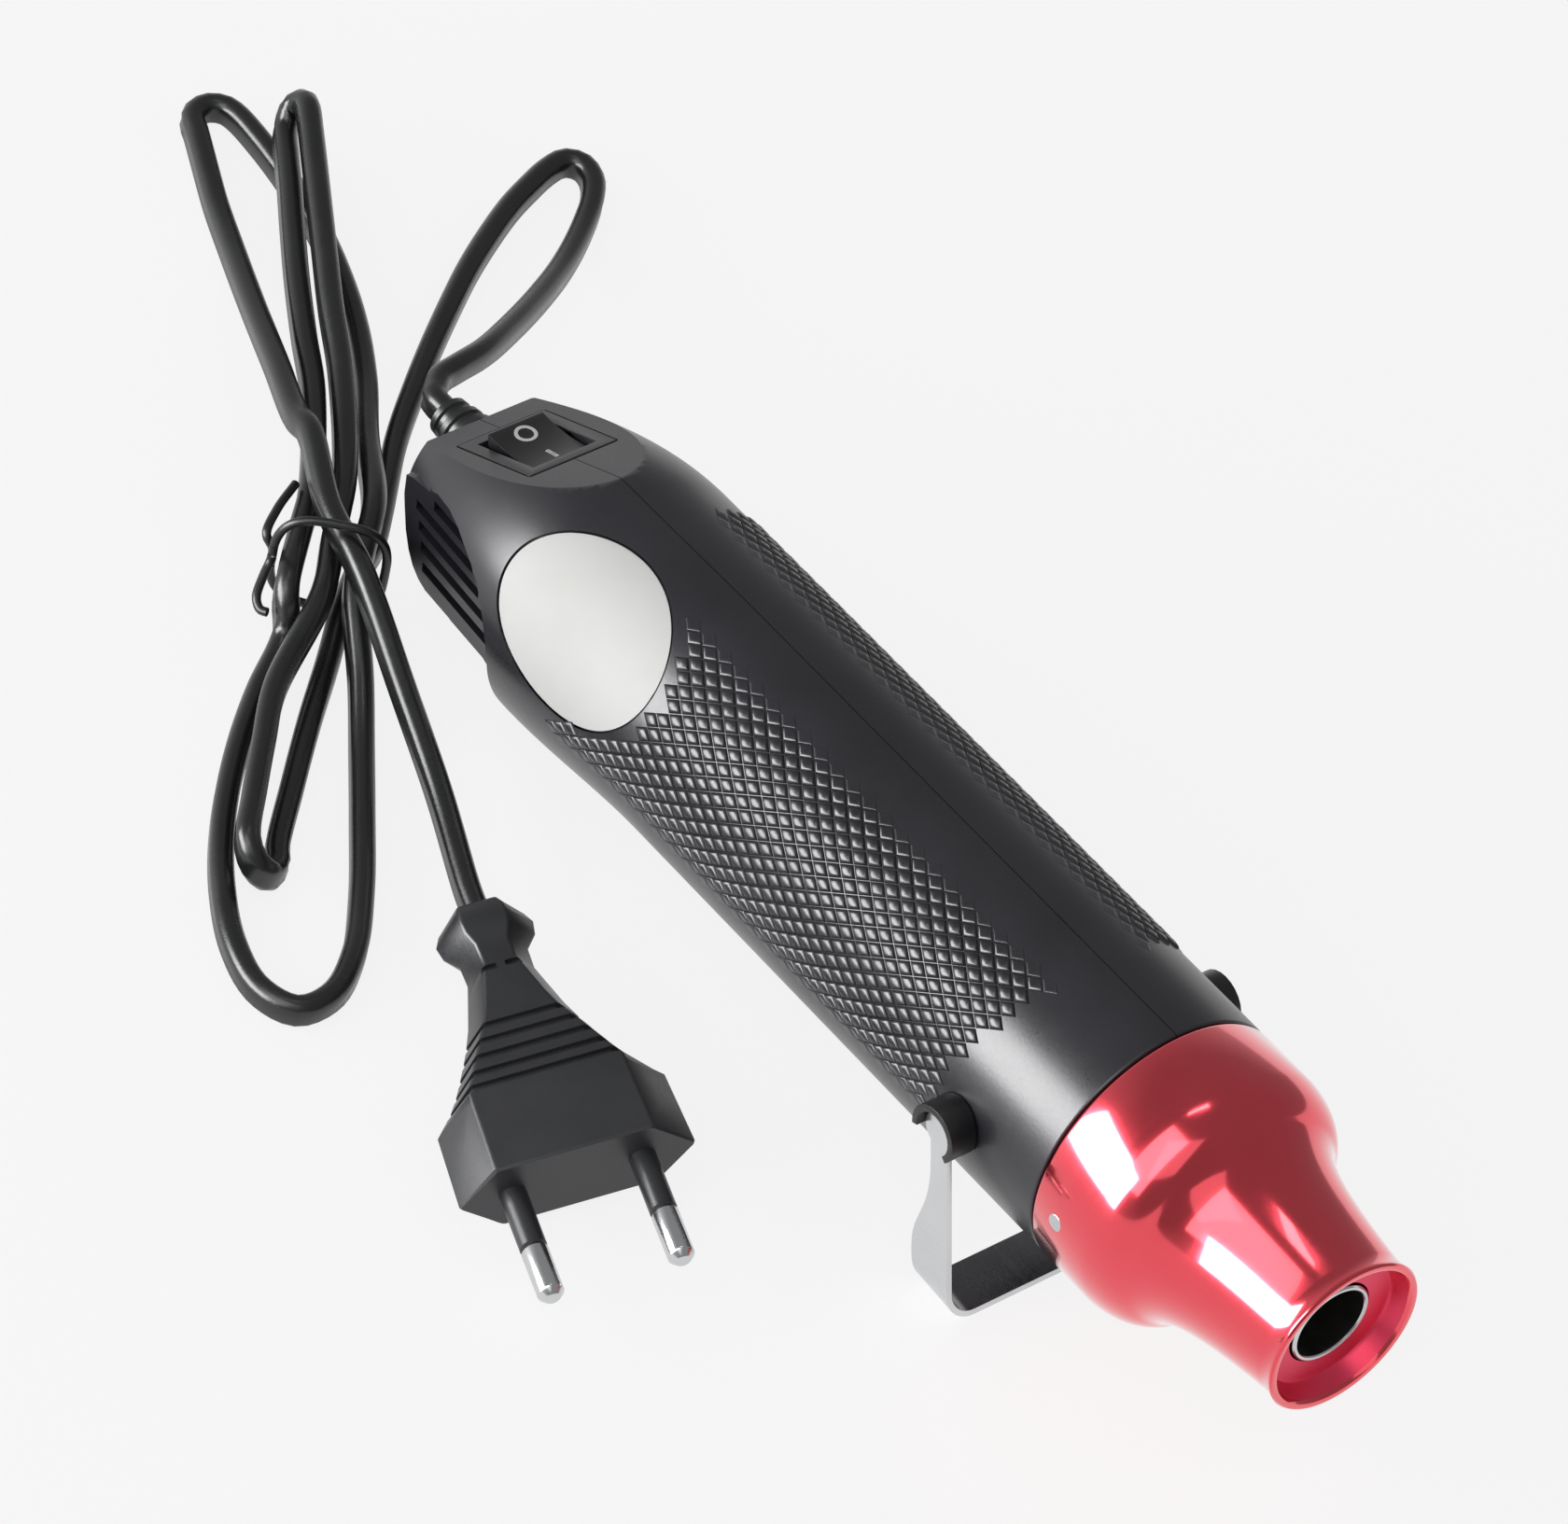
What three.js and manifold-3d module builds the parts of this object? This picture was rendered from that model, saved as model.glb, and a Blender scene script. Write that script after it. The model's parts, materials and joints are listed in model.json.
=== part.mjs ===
// Mini hot air tool for embossing powder and shrink film: a hand-held barrel with a plated
// nozzle, a rocker switch, a fold-out stand and a short mains lead tied in a hank.
// Millimetres, +Z up. The barrel is drawn along +X from its rear face, its left side is -Y,
// and the whole tool then leans back on its stand, with the lead lying on the table.

import * as THREE from 'three';
import { mergeVertices } from 'three/addons/utils/BufferGeometryUtils.js';
import Module from 'manifold-3d';

const wasm = await Module();
wasm.setup();

// Fits and facets
const GAP = 0.3;
const BARREL_FACETS = 48;
const SMALL_FACETS = 16;

// Barrel
const BARREL_LENGTH = 161;
const BARREL_RADIUS = 21.5;
const WALL = 2;
const REAR_WALL = 2.2;
const REAR_RADIUS = 12.4;
const TAIL_LENGTH = 36;
const TAIL_SWELL = 0.7;
const TAIL_RADIUS = BARREL_RADIUS + TAIL_SWELL;
const TAIL_DROOP = 1.2;
const TAIL_BLEND = 30;
const TAIL_STEPS = 7;
const BLEND_STEPS = 4;
const SPIGOT_LENGTH = 10;
const SPIGOT_WALL = 1.7;
const RIB_HEIGHT = 1.2;
const RIB_WIDTH = 1.5;

// Slanted switch panel: it meets the rear face at this height and rises towards the nozzle
const PANEL_REAR_HEIGHT = 7.1;
const PANEL_SLOPE = THREE.MathUtils.degToRad(24.4);

// Side vents in the tail: a flat panel on each side, this far from the axis at the rear face, that
// spreads towards the front; each slot has its rear end, its front end and its height
const VENT_REACH = 13.5;
const VENT_TAPER = 0.12;
const VENT_WALL = 1.8;
const VENT_TOP_REAR = 5.5;
const VENT_TOP_FRONT = 9;
const VENT_FRONT = 33;
const VENT_SHOULDER = 19;
const VENT_BOTTOM = -13;
const SLOT_WIDTH = 1.7;
const SLOT_TILT = THREE.MathUtils.degToRad(5);
const SLOTS = [
  [9.3, 18.5, 3.9], [4.8, 21.2, 0.6], [6.1, 23.6, -2.4], [7.3, 25.6, -5.4], [8.5, 27.2, -8.6],
];

// Oval label on the left side, measured round the barrel from its top
const LABEL_STATION = 47.5;
const LABEL_TURN = THREE.MathUtils.degToRad(54);
const LABEL_LENGTH = 33.5;
const LABEL_WIDTH = 25.5;
const LABEL_DEPTH = 0.9;
const LABEL_THICKNESS = 0.4;

// Nozzle
const NOZZLE_LENGTH = 42.5;
const NOZZLE_WALL = 1.5;
const BAND_LENGTH = 11;
const BAND_PROUD = 0.1;
const BAND_RADIUS = BARREL_RADIUS + BAND_PROUD;
const SHOULDER_RADIUS = 14.8;
const SHOULDER_REACH = 24.6;
const NECK_RADIUS = 12.7;
const NECK_REACH = 39.5;
const RIM_RADIUS = 12.9;
const MOUTH_DEPTH = 3.5;
const NOZZLE_PIN_REACH = 5;
const NOZZLE_PIN_RADIUS = 1.5;

// Heater
const OUTLET_RADIUS = 6.7;
const OUTLET_LENGTH = 10.5;
const OUTLET_PROUD = 0.4;
const HEATER_CLEARANCE = 9.2;
const HEATER_RADIUS = BAND_RADIUS - HEATER_CLEARANCE;
const HEATER_TUBE_WALL = 0.8;
const HEATER_START = 112;
const HEATER_LENGTH = 60;
const MICA = 0.7;
const DISC_THICKNESS = 1.6;
const DISC_LIP = 2.2;
const DISC_OPENING = HEATER_RADIUS - DISC_LIP;
const FORMER_BOARD = 1;
const FORMER_FLANGE = 3;
const COIL_TURNS = 8;
const COIL_WIRE = 0.7;
const COIL_STEPS = 12;
const CUTOUT_SIZE = [3, 9, 5];
const CUTOUT_CLEARANCE = 0.4;

// Motor and fan
const MOTOR_CLEARANCE = 9.4;
const MOTOR_RADIUS = BARREL_RADIUS - MOTOR_CLEARANCE;
const MOTOR_START = 56;
const MOTOR_LENGTH = 30;
const CAP_STEP = 0.7;
const CAP_RADIUS = MOTOR_RADIUS - CAP_STEP;
const CAP_LENGTH = 2.5;
const SHAFT_RADIUS = 1;
const SHAFT_DEPTH = 20;
const FRAME_PLATE = 2;
const FRAME_RING_WIDTH = 6;
const FRAME_RING_WALL = 1.6;
const FRAME_SPOKE = 3;
const MOTOR_SCREW_EDGE = 4.1;
const MOTOR_SCREW_REACH = MOTOR_RADIUS - MOTOR_SCREW_EDGE;
const MOTOR_SCREW_RADIUS = 1.1;
const MOTOR_SCREW_DEPTH = 4;
const MOTOR_SCREW_HEAD = 1.2;
const FAN_CLEARANCE = 3.1;
const FAN_RADIUS = BARREL_RADIUS - WALL - FAN_CLEARANCE;
const FAN_HUB = 4.2;
const FAN_DEPTH = 12;
const FAN_BLADES = 8;
const FAN_BLADE = 1.1;
const FAN_PITCH = THREE.MathUtils.degToRad(48);

// Rectifier board on the motor's rear
const BOARD_SIZE = [1.6, 20, 15];
const BOARD_STAND_OFF = 3;
const TERMINAL_REACH = 6.5;
const TERMINAL_SIZE = [0.6, 2.4];
const DIODE_RADIUS = 1.3;
const DIODE_LENGTH = 5;
const DIODE_PITCH = 3.3;

// Rocker switch
const SWITCH_REACH = 13.6;
const ROCKER_LENGTH = 12.4;
const ROCKER_WIDTH = 10;
const ROCKER_HEIGHT = 1.7;
const ROCKER_DISH = 0.7;
const ROCKER_DEPTH = 3;
const ROCKER_PIVOT = -0.8;
const ROCKER_PIN = 1;
const ROCKER_TILT = THREE.MathUtils.degToRad(9);
const POCKET_MARGIN = 0.75;
const POCKET_DEPTH = 6;
const FRAME_WALL = 1.2;
const BEZEL_MARGIN = 0.9;
const BEZEL_HEIGHT = 0.6;
const SWITCH_DEPTH = 13;
const BLADE_SIZE = [0.8, 4.8, 9];
const BLADE_REACH = 4;
const BLADE_SEAT = 3;

// Stand and its sockets
const PIVOT_BACK = 17;
const STAND_HEIGHT = 31;
const STAND_LEAN = THREE.MathUtils.degToRad(17);
const STRIP = 0.9;
const STRIP_BEND = 5;
const LEG_WIDTH = 8;
const LEG_NECK = 3.6;
const FOOT_WIDTH = 6.4;
const LEG_EYE = 2.9;
const PIVOT_PIN = 1.5;
const SOCKET_RADIUS = 4.5;
const SOCKET_FLOOR = 2.2;
const SOCKET_REACH = 4.6;
const SOCKET_STEM = 3.2;
const SOCKET_RIM = 1.1;
const STAND_FOLD = THREE.MathUtils.degToRad(46);

// Casing screws
const SCREW_STATIONS = [66, 128];
const SCREW_EDGE = 5.5;
const SCREW_HEIGHT = BARREL_RADIUS - SCREW_EDGE;
const SCREW_RADIUS = 1.4;
const SCREW_HEAD = 2.7;
const SCREW_HEAD_HEIGHT = 1.8;
const SCREW_SEAT = 7;
const SCREW_LENGTH = 15;
const BOSS_WALL = 1.5;

// Mains lead: a flat twin cord that stands on edge
const CORD_WIDTH = 5;
const CORD_THICKNESS = 3.8;
const CORD_STEP = 2.6;
const STRAIN_HEIGHT = 1.5;
const STRAIN_LENGTH = 8;
const STRAIN_RADIUS = 4.4;
const STRAIN_TIP = 3.4;
const STRAIN_NECK = 3.4;
const STRAIN_FLANGE = 4.3;
const STRAIN_RIBS = 3;
const LEAD_RADIUS = 0.75;

// First loop of the lead, from the strain relief to the hank, and the run from the hank to the plug
const FIRST_LOOP = [
  [-113.4, 0.9, 21.3], [-116.2, 3.9, 20.7], [-117.5, 8, 19.9], [-119.7, 14.8, 18], [-125, 24.9, 14],
  [-131.4, 35.6, 9.5], [-138, 45.6, 5.6], [-144.2, 53.9, 3.4], [-149.6, 60.1, 2.6],
  [-153.1, 62.6, 2.55], [-156.3, 62.9, 2.55], [-158.2, 61, 2.55], [-157.8, 57.3, 2.55],
  [-156.2, 52.8, 2.55], [-154, 47.6, 2.55], [-150.4, 41, 2.55], [-146, 33.9, 2.55],
  [-140.7, 26.5, 2.55], [-134.8, 18.7, 2.55], [-128.4, 10.8, 2.6], [-121.5, 2.9, 2.8],
];
const PLUG_RUN = [[-89.1, -26.7, 14.8], [-74.5, -31.1, 12.2], [-56.4, -36.9, 9.9]];

// Hank: four loops that leave the tied waist in turn, two to the front and two to the back
const WAIST = new THREE.Vector2(-104.8, -21.6);
const WAIST_HEADING = THREE.MathUtils.degToRad(-43);
const WAIST_PITCH = CORD_THICKNESS + 0.8;
const LEVEL_PITCH = CORD_WIDTH + 0.7;
const INNER_LOOP = [
  [-89.5, -32.2, 2.7], [-81.4, -41.1, 2.55], [-72.1, -50.7, 2.55], [-63.2, -59.6, 2.55],
  [-61.1, -61, 2.1], [-59.8, -63.1, 2.8], [-59.7, -65, 4.6], [-60.9, -66.1, 6.6], [-63, -65.8, 8.2],
  [-70.2, -59.6, 8.2], [-77, -53.4, 8.2], [-85.2, -45.6, 8.6],
];
const UPPER_LOOP = [
  [-131.3, -1.7, 10.7], [-142.5, 4.2, 11.6], [-153.3, 10.3, 12.5], [-163.3, 16, 13.2],
  [-173, 21.6, 13.5], [-177.2, 24, 13.4], [-178.9, 24.7, 12.9], [-180.2, 24.7, 11.5],
  [-180.7, 24, 9.9], [-180.1, 22.8, 8.5], [-178.7, 21.6, 8], [-174.5, 19, 8.1], [-168.9, 15.6, 8.3],
  [-162.2, 11.4, 8.3], [-152.2, 5.3, 8.2], [-141.7, -0.7, 8.2], [-131.6, -6.3, 8.6],
];
const OUTER_LOOP = [
  [-96.2, -35.5, 4.4], [-89.5, -44.8, 2.55], [-80.5, -55, 2.55], [-70.9, -63.8, 2.55],
  [-61.4, -70.5, 2.55], [-51.2, -75.5, 2.55], [-42.6, -77, 2.55], [-37, -74.3, 2.55],
  [-36.8, -68.4, 2.55], [-41.5, -61.3, 2.55], [-50.4, -53.6, 2.55], [-62.1, -45.2, 2.55],
  [-73.7, -37.2, 3], [-82.5, -31.6, 5.6],
];
const LEFT_LOOP = [
  [-121.6, -3.1, 6.4], [-133.2, 5.3, 3.6], [-144.2, 11.5, 2.6], [-155.2, 15.8, 2.55],
  [-165.7, 18.7, 2.55], [-175.2, 20.2, 2.55], [-183.4, 20.9, 2.55], [-189.4, 20.9, 2.55],
  [-191.6, 20.3, 2.55], [-193.1, 18.5, 2.55], [-193.2, 16.2, 2.55], [-191.9, 14.3, 2.55],
  [-189.8, 13.5, 2.55], [-176.2, 7.6, 2.55], [-164.8, 2.9, 3.8], [-151.8, -2.9, 6.8],
  [-137.3, -9.4, 10.8], [-124.2, -15.2, 14.2],
];

// Each pass through the waist has its place across the bundle before and after the tie, its level
// in the pile, and the run before and after the middle over which it keeps that level
const PASSES = [
  { enter: 1.3, leave: 0.72, level: 0, before: 5, after: 9 },
  { enter: 0, leave: 0, level: 1, before: 12, after: 12 },
  { enter: -1, leave: -1.15, level: 1, before: 8, after: 12 },
  { enter: 1, leave: 1.08, level: 1, before: 10, after: 8 },
  { enter: -1.42, leave: 0.8, level: 2, before: 15, after: 9 },
];

// Twist tie: a flattened turn round the waist, with a curled end and a free one
const TIE_RADIUS = 0.7;
const TIE_HALF_WIDTH = 8.4;
const TIE_SQUARENESS = 3.2;
const TIE_STATION = 6;
const TIE_PITCH = 2.4;
const TIE_CURL = [
  [-99.1, -37, 7.2], [-100.2, -37.5, 7], [-102, -37, 7.6], [-104.2, -34.4, 9],
];
const TIE_END = [[-108.2, -31.7, 12.6], [-111.5, -27.5, 12.8], [-114.7, -21.9, 12.4]];

// Plug: stations from its face, each with its half width at mid height and the half width and half
// height of its flats; it lies rolled onto one lower edge
const PLUG_FACE = new THREE.Vector2(11, -60.65);
const PLUG_HEADING = THREE.MathUtils.degToRad(-18.64);
const PLUG_ROLL = THREE.MathUtils.degToRad(13);
const PLUG_STATIONS = [
  [-48.2, 4.6, 2.9, 4], [-46.6, 6.6, 3.2, 4.9], [-45, 7.4, 3.3, 5], [-42.8, 7, 3.2, 5],
  [-40.6, 5.2, 2.4, 4.6], [-37, 5.1, 2.3, 4.6], [-34.4, 5.85, 3, 4.7], [-29.5, 7.3, 4.4, 4.8],
  [-26.2, 8.6, 5.6, 4.9], [-24.4, 9.4, 6.6, 5], [-19, 12.1, 9.2, 5.3], [-16, 14, 10.6, 5.5],
  [-14.6, 15.2, 11, 5.6], [-14, 15.7, 11.2, 6.5], [-12.65, 16.9, 11.25, 6.5],
  [-0.4, 17.45, 11.55, 6.5], [0, 17.2, 11.3, 6.2],
];
const PIN_PITCH = 19;
const PIN_RADIUS = 2;
const PIN_LENGTH = 19;
const SLEEVE_LENGTH = 10;
const PIN_CORE = 1.2;

// Materials
const paint = (color, roughness, metalness) =>
  new THREE.MeshStandardMaterial({ color, roughness, metalness });
const charcoal = paint('#3c3d42', 0.5, 0);
const black = paint('#17181a', 0.45, 0);
const rubber = paint('#1b1c1e', 0.6, 0);
const plating = paint('#c8121c', 0.2, 0.6);
const steel = paint('#c4c6c8', 0.25, 1);
const mica = paint('#b9a27c', 0.7, 0);
const nichrome = paint('#77716a', 0.5, 1);
const paper = paint('#f4f4f2', 0.6, 0);
const board = paint('#2f6b46', 0.6, 0);
const brass = paint('#b8995a', 0.35, 1);
const nylon = paint('#e2ded2', 0.6, 0);
const wire = { live: paint('#6b4023', 0.6, 0), neutral: paint('#2c4a8c', 0.6, 0) };

// Solids from geometry, and back again after a cut or a join
function solid(geometry) {
  const bare = new THREE.BufferGeometry();
  bare.setAttribute('position', geometry.getAttribute('position').clone());
  bare.setIndex(geometry.getIndex());
  const merged = mergeVertices(bare, 1e-4);
  const spots = merged.getAttribute('position').array;
  const corner = (i) => new THREE.Vector3().fromArray(spots, 3 * i);
  const triangles = [];
  let volume = 0;
  for (let i = 0; i < merged.index.count; i += 3) {
    const [a, b, c] = [0, 1, 2].map((j) => merged.index.getX(i + j));
    if (a === b || b === c || c === a) continue;
    triangles.push([a, b, c]);
    volume += corner(a).dot(corner(b).cross(corner(c)));
  }
  const outward = volume > 0 ? triangles : triangles.map(([a, b, c]) => [a, c, b]);
  return new wasm.Manifold(new wasm.Mesh({
    numProp: 3,
    vertProperties: Float32Array.from(spots),
    triVerts: Uint32Array.from(outward.flat()),
  }));
}

function geometryOf(shape) {
  const { vertProperties, triVerts } = shape.getMesh();
  const geometry = new THREE.BufferGeometry();
  geometry.setAttribute('position', new THREE.BufferAttribute(vertProperties, 3));
  geometry.setIndex(new THREE.BufferAttribute(triVerts, 1));
  geometry.computeVertexNormals();
  return geometry;
}

const cut = (shape, ...tools) => tools.reduce((rest, tool) => rest.subtract(tool), shape);
const join = (shape, ...others) => others.reduce((sum, other) => sum.add(other), shape);
const common = (a, b) => a.intersect(b);

// A profile of [station, radius] pairs turned about the X axis
function turned(profile, facets = SMALL_FACETS) {
  const points = profile.map(([station, radius]) => new THREE.Vector2(radius, station));
  return new THREE.LatheGeometry(points, facets).rotateZ(-Math.PI / 2);
}

function rod(radius, from, to, facets = SMALL_FACETS) {
  return turned([[from, 0], [from, radius], [to, radius], [to, 0]], facets);
}

function ring(inner, outer, from, to, facets = BARREL_FACETS / 2) {
  return turned([[from, inner], [from, outer], [to, outer], [to, inner], [from, inner]], facets);
}

// Cylinders across the barrel, from one Y to another
function crossRod(radius, station, height, from, to, facets = SMALL_FACETS) {
  return rod(radius, from, to, facets).rotateZ(Math.PI / 2).translate(station, 0, height);
}

function outline(points) {
  return new THREE.Shape(points.map(([a, b]) => new THREE.Vector2(a, b)));
}

// Outlines drawn as [x, z] and given a width along Y, or as [y, z] and given a depth along X
function plateY(shape, from, to) {
  const geometry = new THREE.ExtrudeGeometry(shape, { depth: to - from, bevelEnabled: false });
  return geometry.rotateX(Math.PI / 2).translate(0, to, 0);
}

function plateX(shape, from, to) {
  const geometry = new THREE.ExtrudeGeometry(shape, { depth: to - from, bevelEnabled: false });
  const axes = new THREE.Matrix4().makeBasis(
    new THREE.Vector3(0, 1, 0), new THREE.Vector3(0, 0, 1), new THREE.Vector3(1, 0, 0));
  return geometry.applyMatrix4(axes).translate(from, 0, 0);
}

function block(size, x, y, z) {
  return new THREE.BoxGeometry(...size).translate(x, y, z);
}

// A tube along points, with its section drawn as [across, up] offsets
function loft(rings) {
  const faces = [];
  const sides = rings[0].length;
  for (let i = 1; i < rings.length; i += 1) {
    for (let j = 0; j < sides; j += 1) {
      const near = (i - 1) * sides + j;
      const next = (i - 1) * sides + ((j + 1) % sides);
      faces.push(near, next, next + sides, near, next + sides, near + sides);
    }
  }
  const last = (rings.length - 1) * sides;
  for (let j = 1; j < sides - 1; j += 1) {
    faces.push(0, j + 1, j, last, last + j, last + j + 1);
  }
  const geometry = new THREE.BufferGeometry().setFromPoints(rings.flat());
  geometry.setIndex(faces);
  geometry.computeVertexNormals();
  return geometry;
}

const tangentAt = (points, i) => points[Math.min(i + 1, points.length - 1)].clone()
  .sub(points[Math.max(i - 1, 0)]).normalize();

function sweep(points, section, upAt = () => new THREE.Vector3(0, 0, 1)) {
  return loft(points.map((point, i) => {
    const along = tangentAt(points, i);
    const across = upAt(i).clone().cross(along).normalize();
    const up = along.clone().cross(across);
    return section.map(
      ([a, b]) => point.clone().addScaledVector(across, a).addScaledVector(up, b));
  }));
}

function roundSection(radius, sides) {
  return Array.from({ length: sides }, (_, i) => {
    const angle = (2 * Math.PI * i) / sides;
    return [radius * Math.cos(angle), radius * Math.sin(angle)];
  });
}

function part(name, shape, material) {
  const geometry = shape.isBufferGeometry ? geometryOf(solid(shape)) : geometryOf(shape);
  const mesh = new THREE.Mesh(geometry, material);
  mesh.name = name;
  return mesh;
}

// Barrel form: a bullet tail that sinks a little, blended into a straight barrel
const ease = (t) => t * t * (3 - 2 * t);
const blendAt = (x) => ease(THREE.MathUtils.clamp((x - TAIL_LENGTH) / TAIL_BLEND, 0, 1));
const tailDrop = (x) => -TAIL_DROOP * (1 - blendAt(x));

function barrelRadius(x) {
  if (x >= TAIL_LENGTH) return THREE.MathUtils.lerp(TAIL_RADIUS, BARREL_RADIUS, blendAt(x));
  return REAR_RADIUS + (TAIL_RADIUS - REAR_RADIUS) * Math.sin((Math.PI * x) / (2 * TAIL_LENGTH));
}

const tailStations = [
  ...Array.from({ length: TAIL_STEPS }, (_, i) => (TAIL_LENGTH * i) / TAIL_STEPS),
  ...Array.from({ length: BLEND_STEPS + 1 }, (_, i) => TAIL_LENGTH + (TAIL_BLEND * i) / BLEND_STEPS),
];

function sunk(geometry) {
  const spots = geometry.getAttribute('position');
  for (let i = 0; i < spots.count; i += 1) spots.setZ(i, spots.getZ(i) + tailDrop(spots.getX(i)));
  return geometry;
}

// The barrel's outside, drawn in by an inset
function barrelForm(inset, end) {
  const wall = tailStations.map((x) => [x, barrelRadius(x) - inset]);
  const profile = [[0, 0], ...wall, [end, BARREL_RADIUS - inset], [end, 0]];
  return solid(sunk(turned(profile, BARREL_FACETS)));
}

const spigotRadius = BAND_RADIUS - NOZZLE_WALL - GAP;
const spigotEnd = BARREL_LENGTH + SPIGOT_LENGTH;
const boreRadius = BARREL_RADIUS - WALL;
const spigotBore = spigotRadius - SPIGOT_WALL;

const ventReach = (x) => VENT_REACH + VENT_TAPER * x;

function barrelCavity() {
  const tailBore = (x) => Math.min(barrelRadius(x) - WALL, ventReach(x) - VENT_WALL);
  const stepEnd = VENT_FRONT + 2 * WALL;
  const wall = [
    [REAR_WALL, tailBore(0)],
    ...tailStations.filter((x) => x > REAR_WALL && x < VENT_FRONT).map((x) => [x, tailBore(x)]),
    [VENT_FRONT, tailBore(VENT_FRONT)],
    ...tailStations.filter((x) => x > stepEnd).map((x) => [x, barrelRadius(x) - WALL]),
    [BARREL_LENGTH - WALL, boreRadius],
    [BARREL_LENGTH, spigotBore],
    [spigotEnd + 1, spigotBore],
  ];
  const profile = [[REAR_WALL, 0], ...wall, [spigotEnd + 1, 0]];
  return solid(sunk(turned(profile, BARREL_FACETS)));
}

// Everything above the slanted switch panel, lowered by a depth
const panelHeight = (x) => PANEL_REAR_HEIGHT + x * Math.tan(PANEL_SLOPE);

function abovePanel(depth) {
  const reach = 2 * TAIL_RADIUS;
  const drop = depth / Math.cos(PANEL_SLOPE);
  const far = TAIL_LENGTH + TAIL_BLEND;
  const shape = outline([
    [-reach, panelHeight(-reach) - drop], [far, panelHeight(far) - drop],
    [far, 2 * reach], [-reach, 2 * reach],
  ]);
  return solid(plateY(shape, -reach, reach));
}

// Side vents: a flat panel with slots that run along the tail
function ventPanel(side) {
  const edge = 1.2 * TAIL_RADIUS;
  const shape = outline([
    [-1, VENT_TOP_REAR], [VENT_SHOULDER, VENT_TOP_FRONT], [VENT_SHOULDER + 3, VENT_TOP_FRONT - 1],
    [VENT_FRONT - 1, VENT_BOTTOM / 2], [VENT_FRONT, VENT_BOTTOM], [-1, VENT_BOTTOM],
  ]);
  const prism = side < 0 ? plateY(shape, -edge, -1) : plateY(shape, 1, edge);
  const lean = Math.atan(VENT_TAPER);
  const size = [8 * VENT_FRONT, 2 * VENT_REACH * Math.cos(lean), 8 * VENT_FRONT];
  return cut(solid(prism), solid(block(size, 0, 0, 0).rotateZ(side * lean)));
}

function ventSlots(side) {
  return SLOTS.map(([rear, front, height]) => {
    const slot = block([front - rear, TAIL_RADIUS, SLOT_WIDTH], 0, side * 0.85 * TAIL_RADIUS, 0);
    return solid(slot.rotateY(-SLOT_TILT).translate((rear + front) / 2, 0, height));
  });
}

// Oval prism that stands square on the barrel at the label
function labelPrism(length, width) {
  const shape = new THREE.Shape().absellipse(0, 0, length / 2, width / 2, 0, 2 * Math.PI);
  const settings = { depth: BARREL_RADIUS, bevelEnabled: false, curveSegments: 20 };
  const prism = new THREE.ExtrudeGeometry(shape, settings);
  prism.translate(0, 0, BARREL_RADIUS / 2).rotateX(LABEL_TURN);
  return solid(prism.translate(LABEL_STATION, 0, tailDrop(LABEL_STATION)));
}

// Switch frame of reference: on the panel, +Z square to it, +X rising towards the nozzle
const switchPlace = new THREE.Matrix4()
  .makeRotationY(-PANEL_SLOPE)
  .setPosition(SWITCH_REACH, 0, panelHeight(SWITCH_REACH));
const pocket = { length: ROCKER_LENGTH + 2 * POCKET_MARGIN, width: ROCKER_WIDTH + 2 * POCKET_MARGIN };
const frameLength = pocket.length + 2 * FRAME_WALL;
const frameWidth = pocket.width + 2 * FRAME_WALL;

function switchOpening() {
  const height = SWITCH_DEPTH + BEZEL_HEIGHT;
  const size = [frameLength + 2 * GAP, frameWidth + 2 * GAP, height];
  return solid(block(size, 0, 0, height / 2 - SWITCH_DEPTH).applyMatrix4(switchPlace));
}

// Screw posts run from wall to wall at the parting plane
const screwPlaces = SCREW_STATIONS.map((x) => [x, -SCREW_HEIGHT]);
const screwHole = SCREW_RADIUS + GAP;

function screwPosts() {
  const reach = 0.9 * BARREL_RADIUS;
  return screwPlaces.map(([x, z]) => solid(crossRod(screwHole + BOSS_WALL, x, z, -reach, reach)));
}

function screwHoles() {
  return screwPlaces.flatMap(([x, z]) => [
    solid(crossRod(screwHole, x, z, SCREW_SEAT - SCREW_LENGTH - 1, BARREL_RADIUS)),
    solid(crossRod(SCREW_HEAD + GAP, x, z, SCREW_SEAT, BARREL_RADIUS)),
  ]);
}

// Stations of what sits inside, each held between two ribs
const frameStation = MOTOR_START + MOTOR_LENGTH + GAP;
const discStation = HEATER_START - GAP - DISC_THICKNESS;
const seats = [
  [frameStation - FRAME_RING_WIDTH / 2, frameStation + FRAME_RING_WIDTH / 2],
  [discStation, discStation + DISC_THICKNESS],
];

function seatRibs() {
  const inner = boreRadius - RIB_HEIGHT;
  const outer = boreRadius + WALL / 2;
  return seats.flatMap(([from, to]) => [
    solid(ring(inner, outer, from - GAP - RIB_WIDTH, from - GAP)),
    solid(ring(inner, outer, to + GAP, to + GAP + RIB_WIDTH)),
  ]);
}

const pivotStation = BARREL_LENGTH - PIVOT_BACK;
const pinStation = BARREL_LENGTH + NOZZLE_PIN_REACH;
const strainHole = STRAIN_NECK + GAP;
const leadChannel = boreRadius - 3 * GAP - LEAD_RADIUS;

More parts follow.
